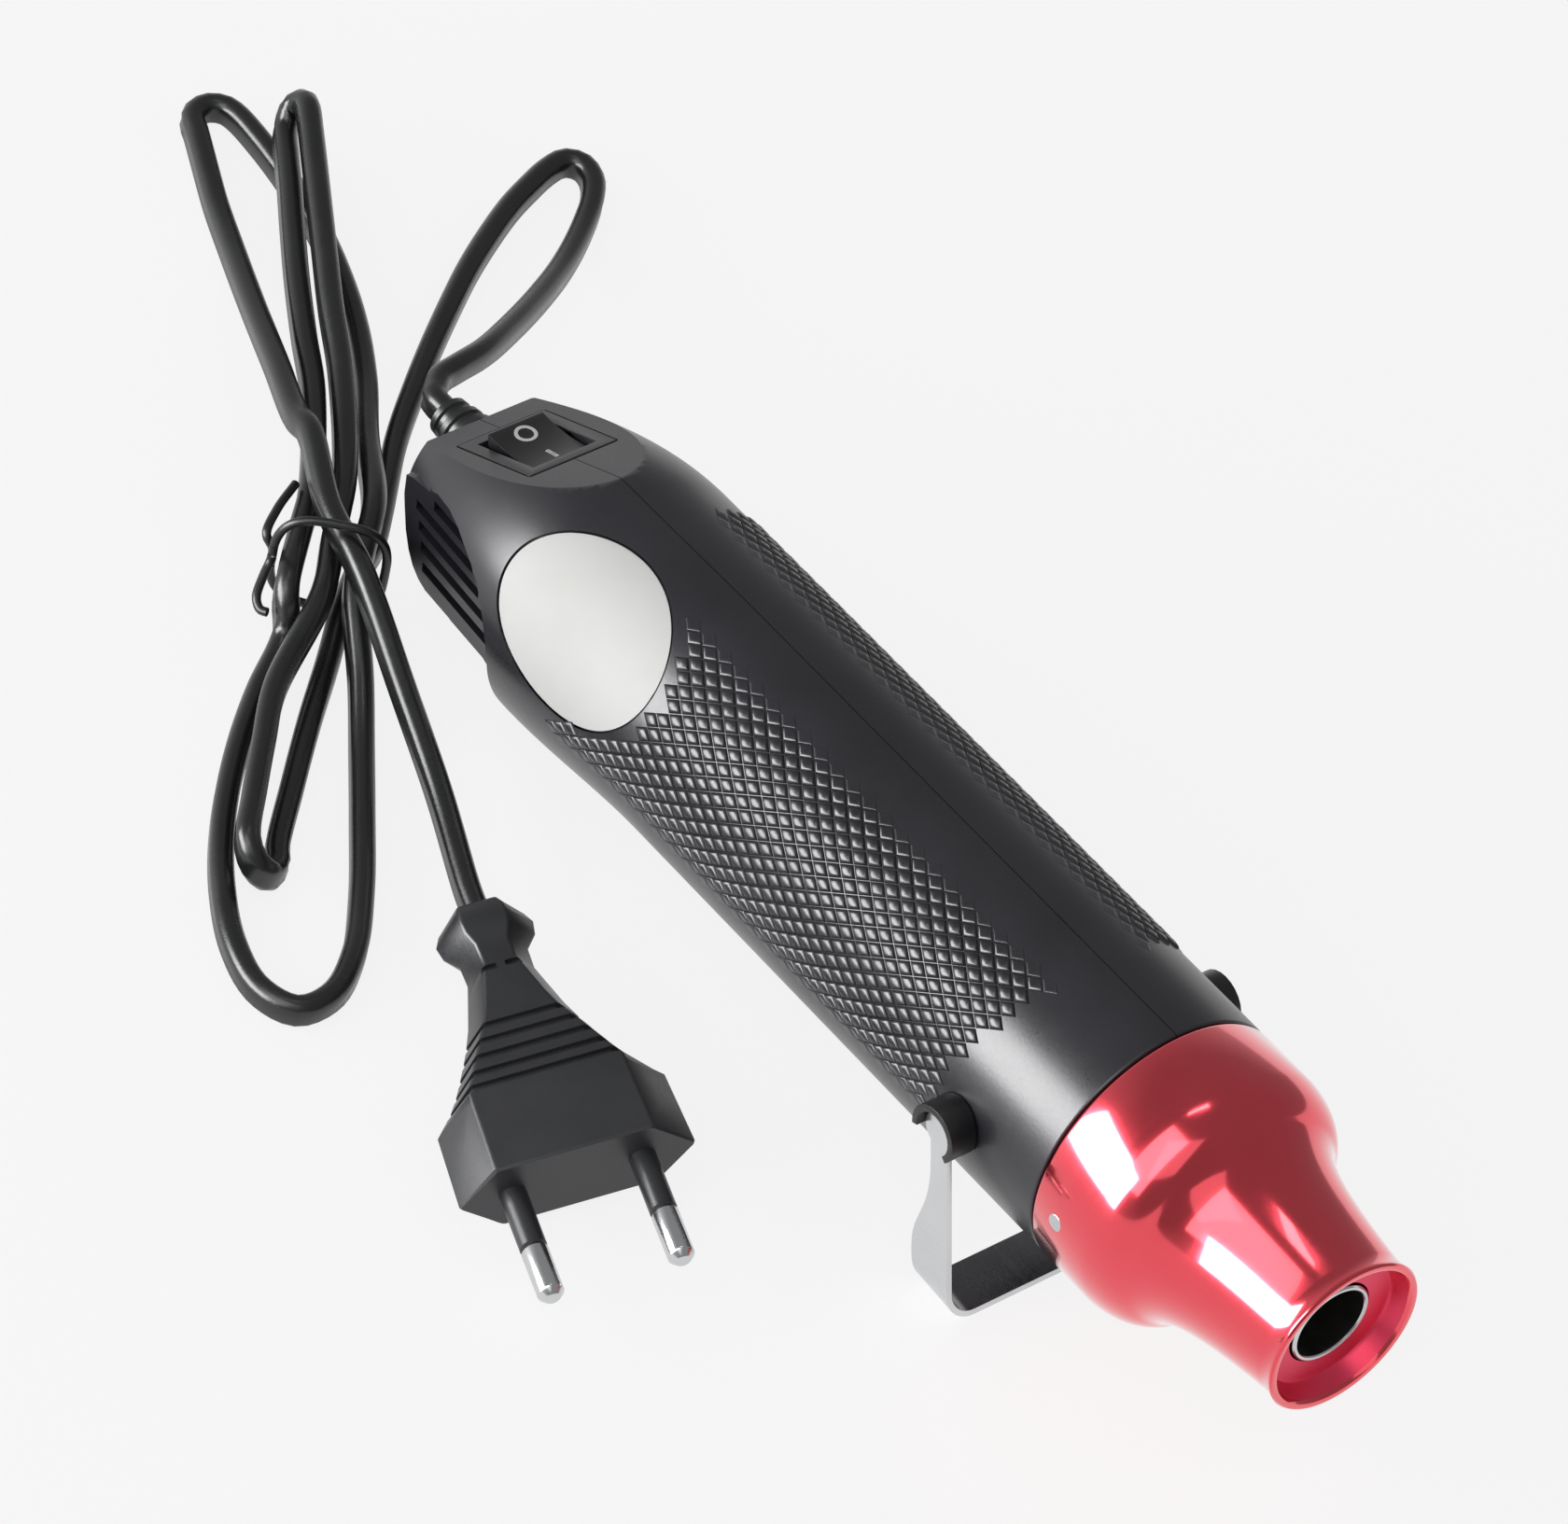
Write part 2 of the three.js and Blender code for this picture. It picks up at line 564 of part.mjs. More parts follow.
function casing() {
  const outside = join(
    barrelForm(0, BARREL_LENGTH),
    solid(rod(spigotRadius, BARREL_LENGTH - WALL, spigotEnd, BARREL_FACETS)));
  const inside = cut(barrelCavity(), abovePanel(WALL));
  const posts = screwPosts().map((post) => common(post, barrelForm(WALL / 2, BARREL_LENGTH)));
  const shell = join(cut(outside, inside), ...posts, ...seatRibs());
  return cut(
    shell,
    abovePanel(0),
    switchOpening(),
    ...[-1, 1].flatMap((side) => [ventPanel(side), ...ventSlots(side)]),
    cut(
      labelPrism(LABEL_LENGTH + 2 * GAP, LABEL_WIDTH + 2 * GAP),
      barrelForm(LABEL_DEPTH, BARREL_LENGTH)),
    ...screwHoles(),
    solid(rod(strainHole, -1, REAR_WALL + 1).translate(0, 0, STRAIN_HEIGHT)),
    solid(crossRod(SOCKET_STEM + GAP, pivotStation, 0, -2 * BARREL_RADIUS, 2 * BARREL_RADIUS)),
    solid(crossRod(NOZZLE_PIN_RADIUS + GAP, pinStation, 0, -2 * BARREL_RADIUS, 2 * BARREL_RADIUS)),
    ...[-1, 1].map((side) => leadNotch(side)),
  );
}

// The two long leads pass the frame and the disc in notches at the sides
function leadNotch(side) {
  const size = [2 * HEATER_START, 2 * RIB_HEIGHT, 2 * (LEAD_RADIUS + GAP)];
  const reach = boreRadius - RIB_HEIGHT - GAP;
  const ends = [frameStation - 2 * FRAME_RING_WIDTH, HEATER_START + FRAME_RING_WIDTH];
  return common(
    solid(block(size, HEATER_START, side * reach, 0)),
    solid(rod(boreRadius, ...ends, BARREL_FACETS)));
}

function casingHalves() {
  const whole = casing();
  const far = 3 * BARREL_RADIUS;
  const half = (side) => {
    const size = [4 * BARREL_LENGTH, far, 2 * far];
    return common(whole, solid(block(size, BARREL_LENGTH / 2, side * (far + GAP) / 2, 0)));
  };
  return [part('casing_left', half(-1), charcoal), part('casing_right', half(1), charcoal)];
}

function casingScrews() {
  return screwPlaces.map(([x, z], i) => {
    const seat = SCREW_SEAT + GAP;
    const profile = [
      [seat - SCREW_LENGTH, 0], [seat - SCREW_LENGTH + 2, SCREW_RADIUS], [seat, SCREW_RADIUS],
      [seat, SCREW_HEAD], [seat + SCREW_HEAD_HEIGHT, 0.8 * SCREW_HEAD], [seat + SCREW_HEAD_HEIGHT, 0],
    ];
    const screw = turned(profile, SMALL_FACETS).rotateZ(Math.PI / 2).translate(x, 0, z);
    return part(`casing_screw_${i + 1}`, screw, steel);
  });
}

function labelPlate() {
  const outer = barrelForm(LABEL_DEPTH - GAP - LABEL_THICKNESS, BARREL_LENGTH);
  const inner = barrelForm(LABEL_DEPTH - GAP, BARREL_LENGTH);
  return part('label_plate', common(labelPrism(LABEL_LENGTH, LABEL_WIDTH), cut(outer, inner)), paper);
}

// Nozzle: a band, a rounded shoulder that sweeps in to a neck, and a flared rim
const rimStation = BARREL_LENGTH + NOZZLE_LENGTH;
const mouthStation = rimStation - MOUTH_DEPTH;

function nozzleCurve() {
  const start = BARREL_LENGTH + BAND_LENGTH;
  const bend = BARREL_LENGTH + SHOULDER_REACH;
  const path = new THREE.CurvePath();
  const at = (x, r) => new THREE.Vector2(x, r);
  const middle = [(start + bend) / 2, (BAND_RADIUS + SHOULDER_RADIUS) / 2];
  path.add(new THREE.QuadraticBezierCurve(
    at(start, BAND_RADIUS), at(middle[0] - 1.5, BAND_RADIUS - 0.6), at(...middle)));
  path.add(new THREE.CubicBezierCurve(
    at(...middle), at(middle[0] + 2.2, middle[1] - 2.3), at(bend, SHOULDER_RADIUS - 0.6),
    at(BARREL_LENGTH + NECK_REACH, NECK_RADIUS)));
  return path.curves.flatMap((curve, i) => curve.getPoints(4).slice(i).map((p) => [p.x, p.y]));
}

function nozzleShroud() {
  const rear = BARREL_LENGTH + GAP;
  const skin = nozzleCurve();
  const tip = mouthStation - NOZZLE_WALL;
  const shoulder = skin.filter(([x]) => x < tip - 2);
  const outside = [[rear, 0], [rear, BAND_RADIUS], ...skin, [rimStation, RIM_RADIUS], [rimStation, 0]];
  const inside = [
    [rear - 1, 0], [rear - 1, BAND_RADIUS - NOZZLE_WALL],
    ...shoulder.map(([x, r]) => [x - NOZZLE_WALL / 2, r - NOZZLE_WALL]),
    [tip, NECK_RADIUS - NOZZLE_WALL], [tip, 0],
  ];
  const mouth = [
    [mouthStation, 0], [mouthStation, RIM_RADIUS - 2 * NOZZLE_WALL],
    [mouthStation + MOUTH_DEPTH / 3, RIM_RADIUS - NOZZLE_WALL],
    [rimStation + 1, RIM_RADIUS - 0.8 * NOZZLE_WALL], [rimStation + 1, 0],
  ];
  const shell = cut(
    solid(turned(outside, BARREL_FACETS)),
    solid(turned(inside, BARREL_FACETS / 2)),
    solid(turned(mouth, BARREL_FACETS)),
    solid(rod(OUTLET_RADIUS + GAP, tip - 1, rimStation, BARREL_FACETS / 2)),
    solid(crossRod(NOZZLE_PIN_RADIUS + GAP, pinStation, 0, -2 * BAND_RADIUS, 2 * BAND_RADIUS)));
  return part('nozzle_shroud', shell, plating);
}

function nozzlePins() {
  const inner = spigotBore + GAP;
  return [['left', -1], ['right', 1]].map(([name, side]) => {
    const [from, to] = [side * inner, side * BAND_RADIUS].sort((a, b) => a - b);
    return part(`nozzle_pin_${name}`, crossRod(NOZZLE_PIN_RADIUS, pinStation, 0, from, to), steel);
  });
}

// Heater: a steel tube that narrows to the outlet, lined with mica, with a wound former inside
const heaterEnd = HEATER_START + HEATER_LENGTH;
const tubeBore = HEATER_RADIUS - HEATER_TUBE_WALL;
const sleeveRadius = tubeBore - GAP;
const sleeveBore = sleeveRadius - MICA;
const coilRadius = sleeveBore - GAP - COIL_WIRE;
const formerStart = HEATER_START + FORMER_BOARD;
const formerLength = HEATER_LENGTH - 2 * FORMER_FLANGE;

function heaterTube() {
  const tip = mouthStation + OUTLET_PROUD;
  const wall = HEATER_TUBE_WALL;
  const profile = [
    [HEATER_START, HEATER_RADIUS], [heaterEnd, HEATER_RADIUS], [tip - OUTLET_LENGTH, OUTLET_RADIUS],
    [tip, OUTLET_RADIUS], [tip, OUTLET_RADIUS - wall], [tip - OUTLET_LENGTH, OUTLET_RADIUS - wall],
    [heaterEnd, tubeBore], [HEATER_START, tubeBore], [HEATER_START, HEATER_RADIUS],
  ];
  return part('heater_tube', turned(profile, BARREL_FACETS / 2), steel);
}

function heaterFormer() {
  const wide = sleeveBore - GAP;
  const narrow = coilRadius - COIL_WIRE / 2 - GAP;
  const end = formerStart + formerLength;
  const half = [
    [formerStart, wide], [formerStart + FORMER_FLANGE, wide], [formerStart + FORMER_FLANGE, narrow],
    [end - FORMER_FLANGE, narrow], [end - FORMER_FLANGE, wide], [end, wide],
  ];
  const mirrored = half.map(([x, r]) => [x, -r]).reverse();
  const shape = outline([...half, ...mirrored]);
  const upright = plateY(shape, -FORMER_BOARD / 2, FORMER_BOARD / 2);
  return part('heater_former', join(solid(upright), solid(upright.clone().rotateX(Math.PI / 2))), mica);
}

// Winding along X, one unbroken tube
function coilPoints() {
  const steps = COIL_TURNS * COIL_STEPS;
  const start = formerStart + FORMER_FLANGE + COIL_WIRE;
  const run = formerLength - 2 * FORMER_FLANGE - 2 * COIL_WIRE;
  return Array.from({ length: steps + 1 }, (_, i) => {
    const angle = (2 * Math.PI * i) / COIL_STEPS;
    const x = start + (run * i) / steps;
    return new THREE.Vector3(x, coilRadius * Math.cos(angle), coilRadius * Math.sin(angle));
  });
}

function heatingCoil() {
  const points = coilPoints();
  const outward = (i) => new THREE.Vector3(0, points[i].y, points[i].z).normalize();
  const section = roundSection(COIL_WIRE / 2, 5);
  return part('heating_coil', sweep(points, section, outward), nichrome);
}

function heaterParts() {
  const discEnd = discStation + DISC_THICKNESS;
  const disc = cut(
    solid(ring(DISC_OPENING, boreRadius - GAP, discStation, discEnd)),
    ...[-1, 1].map((side) => leadNotch(side)));
  const ringStation = BARREL_LENGTH + SPIGOT_LENGTH - 2 * DISC_THICKNESS;
  const [depth, width, height] = CUTOUT_SIZE;
  const ribRadius = boreRadius - RIB_HEIGHT - CUTOUT_CLEARANCE;
  const cutoutHeight = Math.sqrt(ribRadius ** 2 - (width / 2) ** 2) - height / 2;
  return [
    heaterTube(),
    part('mica_sleeve', ring(sleeveBore, sleeveRadius, HEATER_START, heaterEnd), mica),
    heaterFormer(),
    heatingCoil(),
    part('heater_disc', disc, mica),
    part('mica_ring',
      ring(HEATER_RADIUS + GAP, spigotBore - GAP, ringStation, ringStation + DISC_THICKNESS), mica),
    part('thermal_cutout',
      block([depth, width, height], discStation - GAP - depth / 2, 0, cutoutHeight), nylon),
  ];
}

// Motor, its frame and the fan
const plateStation = frameStation;
const plateEnd = plateStation + FRAME_PLATE;
const fanStart = plateEnd + GAP + MOTOR_SCREW_HEAD + 2;
const fanEnd = fanStart + FAN_DEPTH;

function motorFrame() {
  const [from, to] = seats[0];
  const outer = boreRadius - GAP;
  const hoop = solid(ring(outer - FRAME_RING_WALL, outer, from, to));
  const plate = solid(ring(FAN_HUB, MOTOR_RADIUS, plateStation, plateEnd));
  const reach = outer - FRAME_RING_WALL / 2 - FAN_HUB - 1;
  const spokes = [1, 3, 5, 7].map((eighth) => {
    const spoke = block([FRAME_PLATE, FRAME_SPOKE, reach], 0, 0, FAN_HUB + 1 + reach / 2);
    return solid(spoke.rotateX((eighth * Math.PI) / 4).translate(plateStation + FRAME_PLATE / 2, 0, 0));
  });
  const holes = [-1, 1].map((side) => {
    const hole = rod(MOTOR_SCREW_RADIUS + GAP, plateStation - 1, plateEnd + 1);
    return solid(hole.translate(0, side * MOTOR_SCREW_REACH, 0));
  });
  const notches = [-1, 1].map((side) => leadNotch(side));
  return part('motor_frame', cut(join(hoop, plate, ...spokes), ...holes, ...notches), nylon);
}

function motorScrews() {
  return [-1, 1].map((side, i) => {
    const seat = plateEnd + GAP;
    const profile = [
      [MOTOR_START + MOTOR_LENGTH - MOTOR_SCREW_DEPTH + GAP, 0],
      [MOTOR_START + MOTOR_LENGTH - MOTOR_SCREW_DEPTH + GAP, MOTOR_SCREW_RADIUS],
      [seat, MOTOR_SCREW_RADIUS], [seat, 2 * MOTOR_SCREW_RADIUS],
      [seat + MOTOR_SCREW_HEAD, 1.7 * MOTOR_SCREW_RADIUS], [seat + MOTOR_SCREW_HEAD, 0],
    ];
    const screw = turned(profile).translate(0, side * MOTOR_SCREW_REACH, 0);
    return part(`motor_screw_${i + 1}`, screw, steel);
  });
}

const shaftStart = MOTOR_START + MOTOR_LENGTH - SHAFT_DEPTH;
const shaftEnd = fanEnd + 1;

function motorCan() {
  const end = MOTOR_START + MOTOR_LENGTH;
  const round = 1.5;
  const can = solid(turned([
    [MOTOR_START, 0], [MOTOR_START, MOTOR_RADIUS], [end - round, MOTOR_RADIUS],
    [end, MOTOR_RADIUS - round], [end, 0],
  ], BARREL_FACETS / 2));
  const bore = solid(rod(SHAFT_RADIUS + GAP, shaftStart - GAP, end + 1));
  const holes = [-1, 1].map((side) => {
    const hole = rod(MOTOR_SCREW_RADIUS + GAP, end - MOTOR_SCREW_DEPTH, end + 1);
    return solid(hole.translate(0, side * MOTOR_SCREW_REACH, 0));
  });
  return part('motor_can', cut(can, bore, ...holes), steel);
}

const capEnd = MOTOR_START - GAP;
const capStart = capEnd - CAP_LENGTH;
const boardEnd = capStart - BOARD_STAND_OFF;
const boardStart = boardEnd - BOARD_SIZE[0];
const [tabThickness, tabWidth] = TERMINAL_SIZE;

// Two tabs run from the motor's end cap through the board
function motorRear() {
  const slots = [-1, 1].map((side) => solid(block(
    [4 * CAP_LENGTH, tabThickness + 2 * GAP, tabWidth + 2 * GAP],
    boardStart, side * TERMINAL_REACH, 0)));
  const cap = cut(
    solid(rod(CAP_RADIUS, capStart, capEnd, BARREL_FACETS / 2)),
    ...slots.map((slot) => slot.translate([2 * CAP_LENGTH + BOARD_STAND_OFF, 0, 0])));
  const plate = block(BOARD_SIZE, (boardStart + boardEnd) / 2, 0, 0);
  const tabs = [-1, 1].map((side, i) => {
    const [from, to] = [boardStart - 1, capEnd];
    const tab = block([to - from, tabThickness, tabWidth], (from + to) / 2, side * TERMINAL_REACH, 0);
    return part(`motor_terminal_${i + 1}`, tab, brass);
  });
  const diodes = [0, 1, 2, 3].map((i) => {
    const diode = crossRod(DIODE_RADIUS, boardStart - GAP - DIODE_RADIUS, (i - 1.5) * DIODE_PITCH,
      -DIODE_LENGTH / 2, DIODE_LENGTH / 2, 8);
    return part(`diode_${i + 1}`, diode, black);
  });
  return [part('motor_end_cap', cap, black), part('rectifier_board', cut(solid(plate), ...slots), board),
    ...tabs, ...diodes];
}

function rotor() {
  const shaft = rod(SHAFT_RADIUS, shaftStart, shaftEnd);
  const middle = (fanStart + fanEnd) / 2;
  const hub = cut(
    solid(rod(FAN_HUB, fanStart, fanEnd, BARREL_FACETS / 2)),
    solid(rod(SHAFT_RADIUS + GAP, fanStart - 1, fanEnd + 1)));
  const reach = FAN_RADIUS - FAN_HUB + 1;
  const chord = (0.9 * FAN_DEPTH) / Math.cos(FAN_PITCH) - FAN_BLADE;
  const blades = Array.from({ length: FAN_BLADES }, (_, i) => {
    const blade = block([Math.min(chord, FAN_DEPTH), FAN_BLADE, reach], 0, 0, FAN_HUB - 1 + reach / 2);
    blade.rotateZ(FAN_PITCH).rotateX((2 * Math.PI * i) / FAN_BLADES);
    return solid(blade.translate(middle, 0, 0));
  });
  return [part('motor_shaft', shaft, steel), part('fan_impeller', join(hub, ...blades), black)];
}

// Rocker switch
function switchParts() {
  const top = BEZEL_HEIGHT + GAP;
  const bezel = [frameLength + 2 * BEZEL_MARGIN, frameWidth + 2 * BEZEL_MARGIN];
  const flange = block([...bezel, BEZEL_HEIGHT], 0, 0, GAP + BEZEL_HEIGHT / 2);
  const bodyHeight = SWITCH_DEPTH + GAP + BEZEL_HEIGHT / 2;
  const body = block([frameLength, frameWidth, bodyHeight], 0, 0, bodyHeight / 2 - SWITCH_DEPTH);
  const hollow = block(
    [pocket.length, pocket.width, POCKET_DEPTH + top], 0, 0, (top - POCKET_DEPTH) / 2 + 0.1);
  const pinHole = crossRod(ROCKER_PIN + GAP, 0, ROCKER_PIVOT, -frameWidth, frameWidth);
  const bladeHoles = [-1, 1].map((side) => solid(block(
    [BLADE_SIZE[0] + 2 * GAP, BLADE_SIZE[1] + 2 * GAP, BLADE_SEAT + 1],
    side * BLADE_REACH, 0, BLADE_SEAT / 2 - SWITCH_DEPTH - 0.5)));
  const frame = cut(join(solid(flange), solid(body)), solid(hollow), solid(pinHole), ...bladeHoles);
  const blades = [-1, 1].map((side, i) => {
    const from = -SWITCH_DEPTH + BLADE_SEAT - GAP;
    const blade = block(BLADE_SIZE, side * BLADE_REACH, 0, from - BLADE_SIZE[2] / 2);
    return part(`switch_terminal_${i + 1}`, blade, brass);
  });
  const group = new THREE.Group();
  group.applyMatrix4(switchPlace);
  group.add(part('switch_frame', frame, black), ...blades, rocker());
  return group;
}

// The rocker turns on its own pins and rests with its rear end up
function rocker() {
  const half = ROCKER_LENGTH / 2;
  const lift = ROCKER_HEIGHT - ROCKER_PIVOT;
  const shape = new THREE.Shape();
  shape.moveTo(-half, lift);
  shape.quadraticCurveTo(0, lift - 2 * ROCKER_DISH, half, lift);
  shape.lineTo(half, 0.5);
  shape.quadraticCurveTo(0, -2 * ROCKER_DEPTH, -half, 0.5);
  shape.closePath();
  const key = solid(plateY(shape, -ROCKER_WIDTH / 2, ROCKER_WIDTH / 2));
  const pinReach = ROCKER_WIDTH / 2 + POCKET_MARGIN + FRAME_WALL - GAP;
  const pins = solid(crossRod(ROCKER_PIN, 0, 0, -pinReach, pinReach));
  const mesh = part('switch_rocker', join(key, pins), black);
  mesh.position.set(0, 0, ROCKER_PIVOT);
  mesh.rotation.y = ROCKER_TILT;
  return mesh;
}

// Stand: a steel strip bent to a U, its legs cut to a leaf, pivoting in two side sockets
const legInside = BARREL_RADIUS + SOCKET_FLOOR + GAP;
const legOutside = legInside + STRIP;

function stripShape() {
  const shape = new THREE.Shape();
  const corner = legOutside - STRIP_BEND;
  const low = STRIP_BEND - STAND_HEIGHT;
  const inner = STRIP_BEND - STRIP;
  shape.moveTo(-legOutside, LEG_EYE);
  shape.lineTo(-legOutside, low);
  shape.absarc(-corner, low, STRIP_BEND, Math.PI, 1.5 * Math.PI, false);
  shape.absarc(corner, low, STRIP_BEND, 1.5 * Math.PI, 2 * Math.PI, false);
  shape.lineTo(legOutside, LEG_EYE);
  shape.lineTo(legInside, LEG_EYE);
  shape.lineTo(legInside, low);
  shape.absarc(corner, low, inner, 2 * Math.PI, 1.5 * Math.PI, true);
  shape.absarc(-corner, low, inner, 1.5 * Math.PI, Math.PI, true);
  shape.lineTo(-legInside, LEG_EYE);
  shape.closePath();
  return shape;
}

// Leaf: a straight front edge and a rear edge that bows out towards the foot
function leafShape() {
  const front = LEG_NECK / 2;
  const sole = -1.2 * STAND_HEIGHT;
  const tilt = Math.asin(front / LEG_EYE);
  const shape = new THREE.Shape();
  shape.moveTo(front, sole);
  shape.lineTo(front, -LEG_EYE * Math.cos(tilt));
  shape.absarc(0, 0, LEG_EYE, tilt - Math.PI / 2, 1.5 * Math.PI - tilt, false);
  shape.lineTo(-front, -2 * LEG_EYE);
  shape.bezierCurveTo(
    -front, -0.5 * STAND_HEIGHT, front - LEG_WIDTH, -0.55 * STAND_HEIGHT,
    front - LEG_WIDTH, -0.75 * STAND_HEIGHT);
  shape.quadraticCurveTo(front - LEG_WIDTH, -0.95 * STAND_HEIGHT, front - FOOT_WIDTH, sole);
  shape.closePath();
  return shape;
}

function standBracket() {
  const reach = 2 * LEG_WIDTH;
  const lean = Math.tan(STAND_LEAN);
  const strip = plateX(stripShape(), -reach, reach);
  strip.applyMatrix4(new THREE.Matrix4().set(1, 0, -lean, 0, 0, 1, 0, 0, 0, 0, 1, 0, 0, 0, 0, 1));
  const leaf = plateY(leafShape(), -2 * legOutside, 2 * legOutside).rotateY(-STAND_LEAN);
  const pins = [-1, 1].map((side) => {
    const ends = [side * (BARREL_RADIUS - WALL / 2), side * legOutside].sort((a, b) => a - b);
    return solid(crossRod(PIVOT_PIN, 0, 0, ...ends));
  });
  return part('stand_bracket', join(common(solid(strip), solid(leaf)), ...pins), steel);
}

// Stance: the sole of the stand and the lowest ring of the tail stand on the table
function stance() {
  const tilts = tailStations.map((x) => {
    const run = pivotStation - x;
    const drop = barrelRadius(x) - tailDrop(x);
    return Math.asin(STAND_HEIGHT / Math.hypot(run, drop)) - Math.atan2(drop, run);
  });
  return Math.min(...tilts);
}

const tilt = stance();

// A socket has a stem through the wall, a bore for the pin and a rim that opens where the leg swings
function standSocket(name, side) {
  const end = BARREL_RADIUS + SOCKET_REACH;
  const floor = BARREL_RADIUS + SOCKET_FLOOR;
  const span = (radius, from, to) => {
    const ends = [side * from, side * to].sort((a, b) => a - b);
    return solid(crossRod(radius, pivotStation, 0, ...ends, BARREL_FACETS / 2));
  };
  const sides = [pivotStation - 2 * SOCKET_RADIUS, pivotStation + 2 * SOCKET_RADIUS];
  const barrel = solid(rod(BARREL_RADIUS + GAP, ...sides, BARREL_FACETS));
  const head = cut(span(SOCKET_RADIUS, boreRadius, end), barrel);
  const stem = span(SOCKET_STEM, boreRadius - 1, floor);
  const slack = Math.asin((LEG_NECK / 2 + GAP) / (SOCKET_RADIUS - SOCKET_RIM));
  const front = STAND_LEAN - tilt + slack;
  const rear = STAND_LEAN - tilt - STAND_FOLD - slack;
  const reach = 3 * SOCKET_RADIUS;
  const ray = (angle) => [pivotStation + reach * Math.sin(angle), -reach * Math.cos(angle)];
  const wedge = outline([[pivotStation, 0], ray(rear), ray((front + rear) / 2), ray(front)]);
  const edges = [side * floor, side * (end + 1)].sort((a, b) => a - b);
  return part(`stand_socket_${name}`, cut(
    join(head, stem),
    span(SOCKET_RADIUS - SOCKET_RIM, floor, end + 1),
    span(PIVOT_PIN + GAP, boreRadius - 2, end),
    solid(plateY(wedge, ...edges))), black);
}

// Strain relief: a flange behind the rear wall, a neck through it and a ribbed, tapered sleeve
function strainRelief() {
  const inside = REAR_WALL + GAP;
  const profile = [[inside + 2, 0], [inside + 2, STRAIN_FLANGE], [inside, STRAIN_FLANGE],
    [inside, STRAIN_NECK], [-GAP, STRAIN_NECK]];
  const pitch = (STRAIN_LENGTH - GAP) / (STRAIN_RIBS + 0.5);
  for (let i = 0; i <= STRAIN_RIBS; i += 1) {
    const start = -GAP - i * pitch;
    const radius = THREE.MathUtils.lerp(STRAIN_RADIUS, STRAIN_TIP, i / STRAIN_RIBS);
    const ribEnd = start - 0.55 * pitch;
    profile.push([start, radius], [ribEnd, radius - 0.15]);
    if (i < STRAIN_RIBS) profile.push([ribEnd, radius - 0.9], [start - pitch, radius - 0.9]);
  }
  profile.push([profile.at(-1)[0], 0]);
  return part('strain_relief', turned(profile).translate(0, 0, STRAIN_HEIGHT), rubber);
}

const strainTip = -GAP - (STRAIN_LENGTH - GAP) * ((STRAIN_RIBS + 0.55) / (STRAIN_RIBS + 0.5));

// Internal leads: from the cord to the switch, and from the switch and the cord to the heater
function leads() {
  const at = (x, y, z) => new THREE.Vector3(x, y, z);
  const bladeEnd = (side) => at(
    side * BLADE_REACH, 0, BLADE_SEAT - SWITCH_DEPTH - BLADE_SIZE[2] - 2 * GAP - LEAD_RADIUS,
  ).applyMatrix4(switchPlace);
  const inside = REAR_WALL + 4 * GAP + 2;
  const tail = VENT_FRONT + 3 * WALL;
  const heater = discStation - 1.5;
  const low = -0.4 * TAIL_RADIUS;
  const bend = 0.63 * TAIL_RADIUS;
  const routes = {
    lead_live: [
      at(inside, -2, STRAIN_HEIGHT - 2), at(inside + 4, -3, STRAIN_HEIGHT - 6),
      at(VENT_FRONT / 2, -2, low), bladeEnd(-1),
    ],
    lead_neutral: [
      at(inside, 2, STRAIN_HEIGHT - 2), at(inside + 6, 6, STRAIN_HEIGHT - 7),
      at(0.7 * VENT_FRONT, 0.5 * TAIL_RADIUS, 0.8 * low), at(tail, bend, low / 3),
      at(tail + 9, leadChannel - 1, -1), at(tail + 16, leadChannel, 0), at(heater - 12, leadChannel, 0),
      at(heater - 6, leadChannel, 0), at(heater, leadChannel - 1.2, 0),
    ],
    lead_switched: [
      bladeEnd(1), at(0.9 * VENT_FRONT, -6, low - 1), at(tail, -bend, low / 2),
      at(tail + 9, 1 - leadChannel, -1), at(tail + 16, -leadChannel, 0),
      at(heater - 12, -leadChannel, 0), at(heater - 6, -leadChannel, 0),
      at(heater, 1.2 - leadChannel, 0),
    ],
  };
  return Object.entries(routes).map(([name, points]) => {
    const curve = new THREE.CatmullRomCurve3(points, false, 'centripetal');
    const run = curve.getSpacedPoints(4 * points.length);
    const tint = name === 'lead_neutral' ? wire.neutral : wire.live;
    return part(name, sweep(run, roundSection(LEAD_RADIUS, 6)), tint);
  });
}

// The tool leans back on its stand
const tool = new THREE.Group();
tool.add(
  ...casingHalves(), ...casingScrews(), labelPlate(), nozzleShroud(), ...nozzlePins(), ...heaterParts(),
  motorCan(), ...motorRear(), motorFrame(), ...motorScrews(), ...rotor(), switchParts(),
  standSocket('left', -1), standSocket('right', 1), ...leads());
tool.rotation.y = -tilt;

const stand = new THREE.Group();
stand.position.set(pivotStation, 0, 0);
stand.rotation.y = tilt;
stand.add(standBracket());
tool.add(stand);

const object = new THREE.Group();
object.add(tool);
object.updateMatrixWorld(true);
const box = new THREE.Box3().setFromObject(tool, true);
tool.position.set(-(box.min.x + box.max.x) / 2, 0, -box.min.z);
tool.add(strainRelief());
object.updateMatrixWorld(true);

// Cord route: the first loop, the tied hank, then the run to the plug
const cordRest = CORD_WIDTH / 2 + 0.05;
const tieLift = 2 * TIE_RADIUS + 0.5;
const cordExit = new THREE.Vector3(strainTip - GAP, 0, STRAIN_HEIGHT).applyMatrix4(tool.matrixWorld);
const cordOut = new THREE.Vector3(-1, 0, 0).transformDirection(tool.matrixWorld);

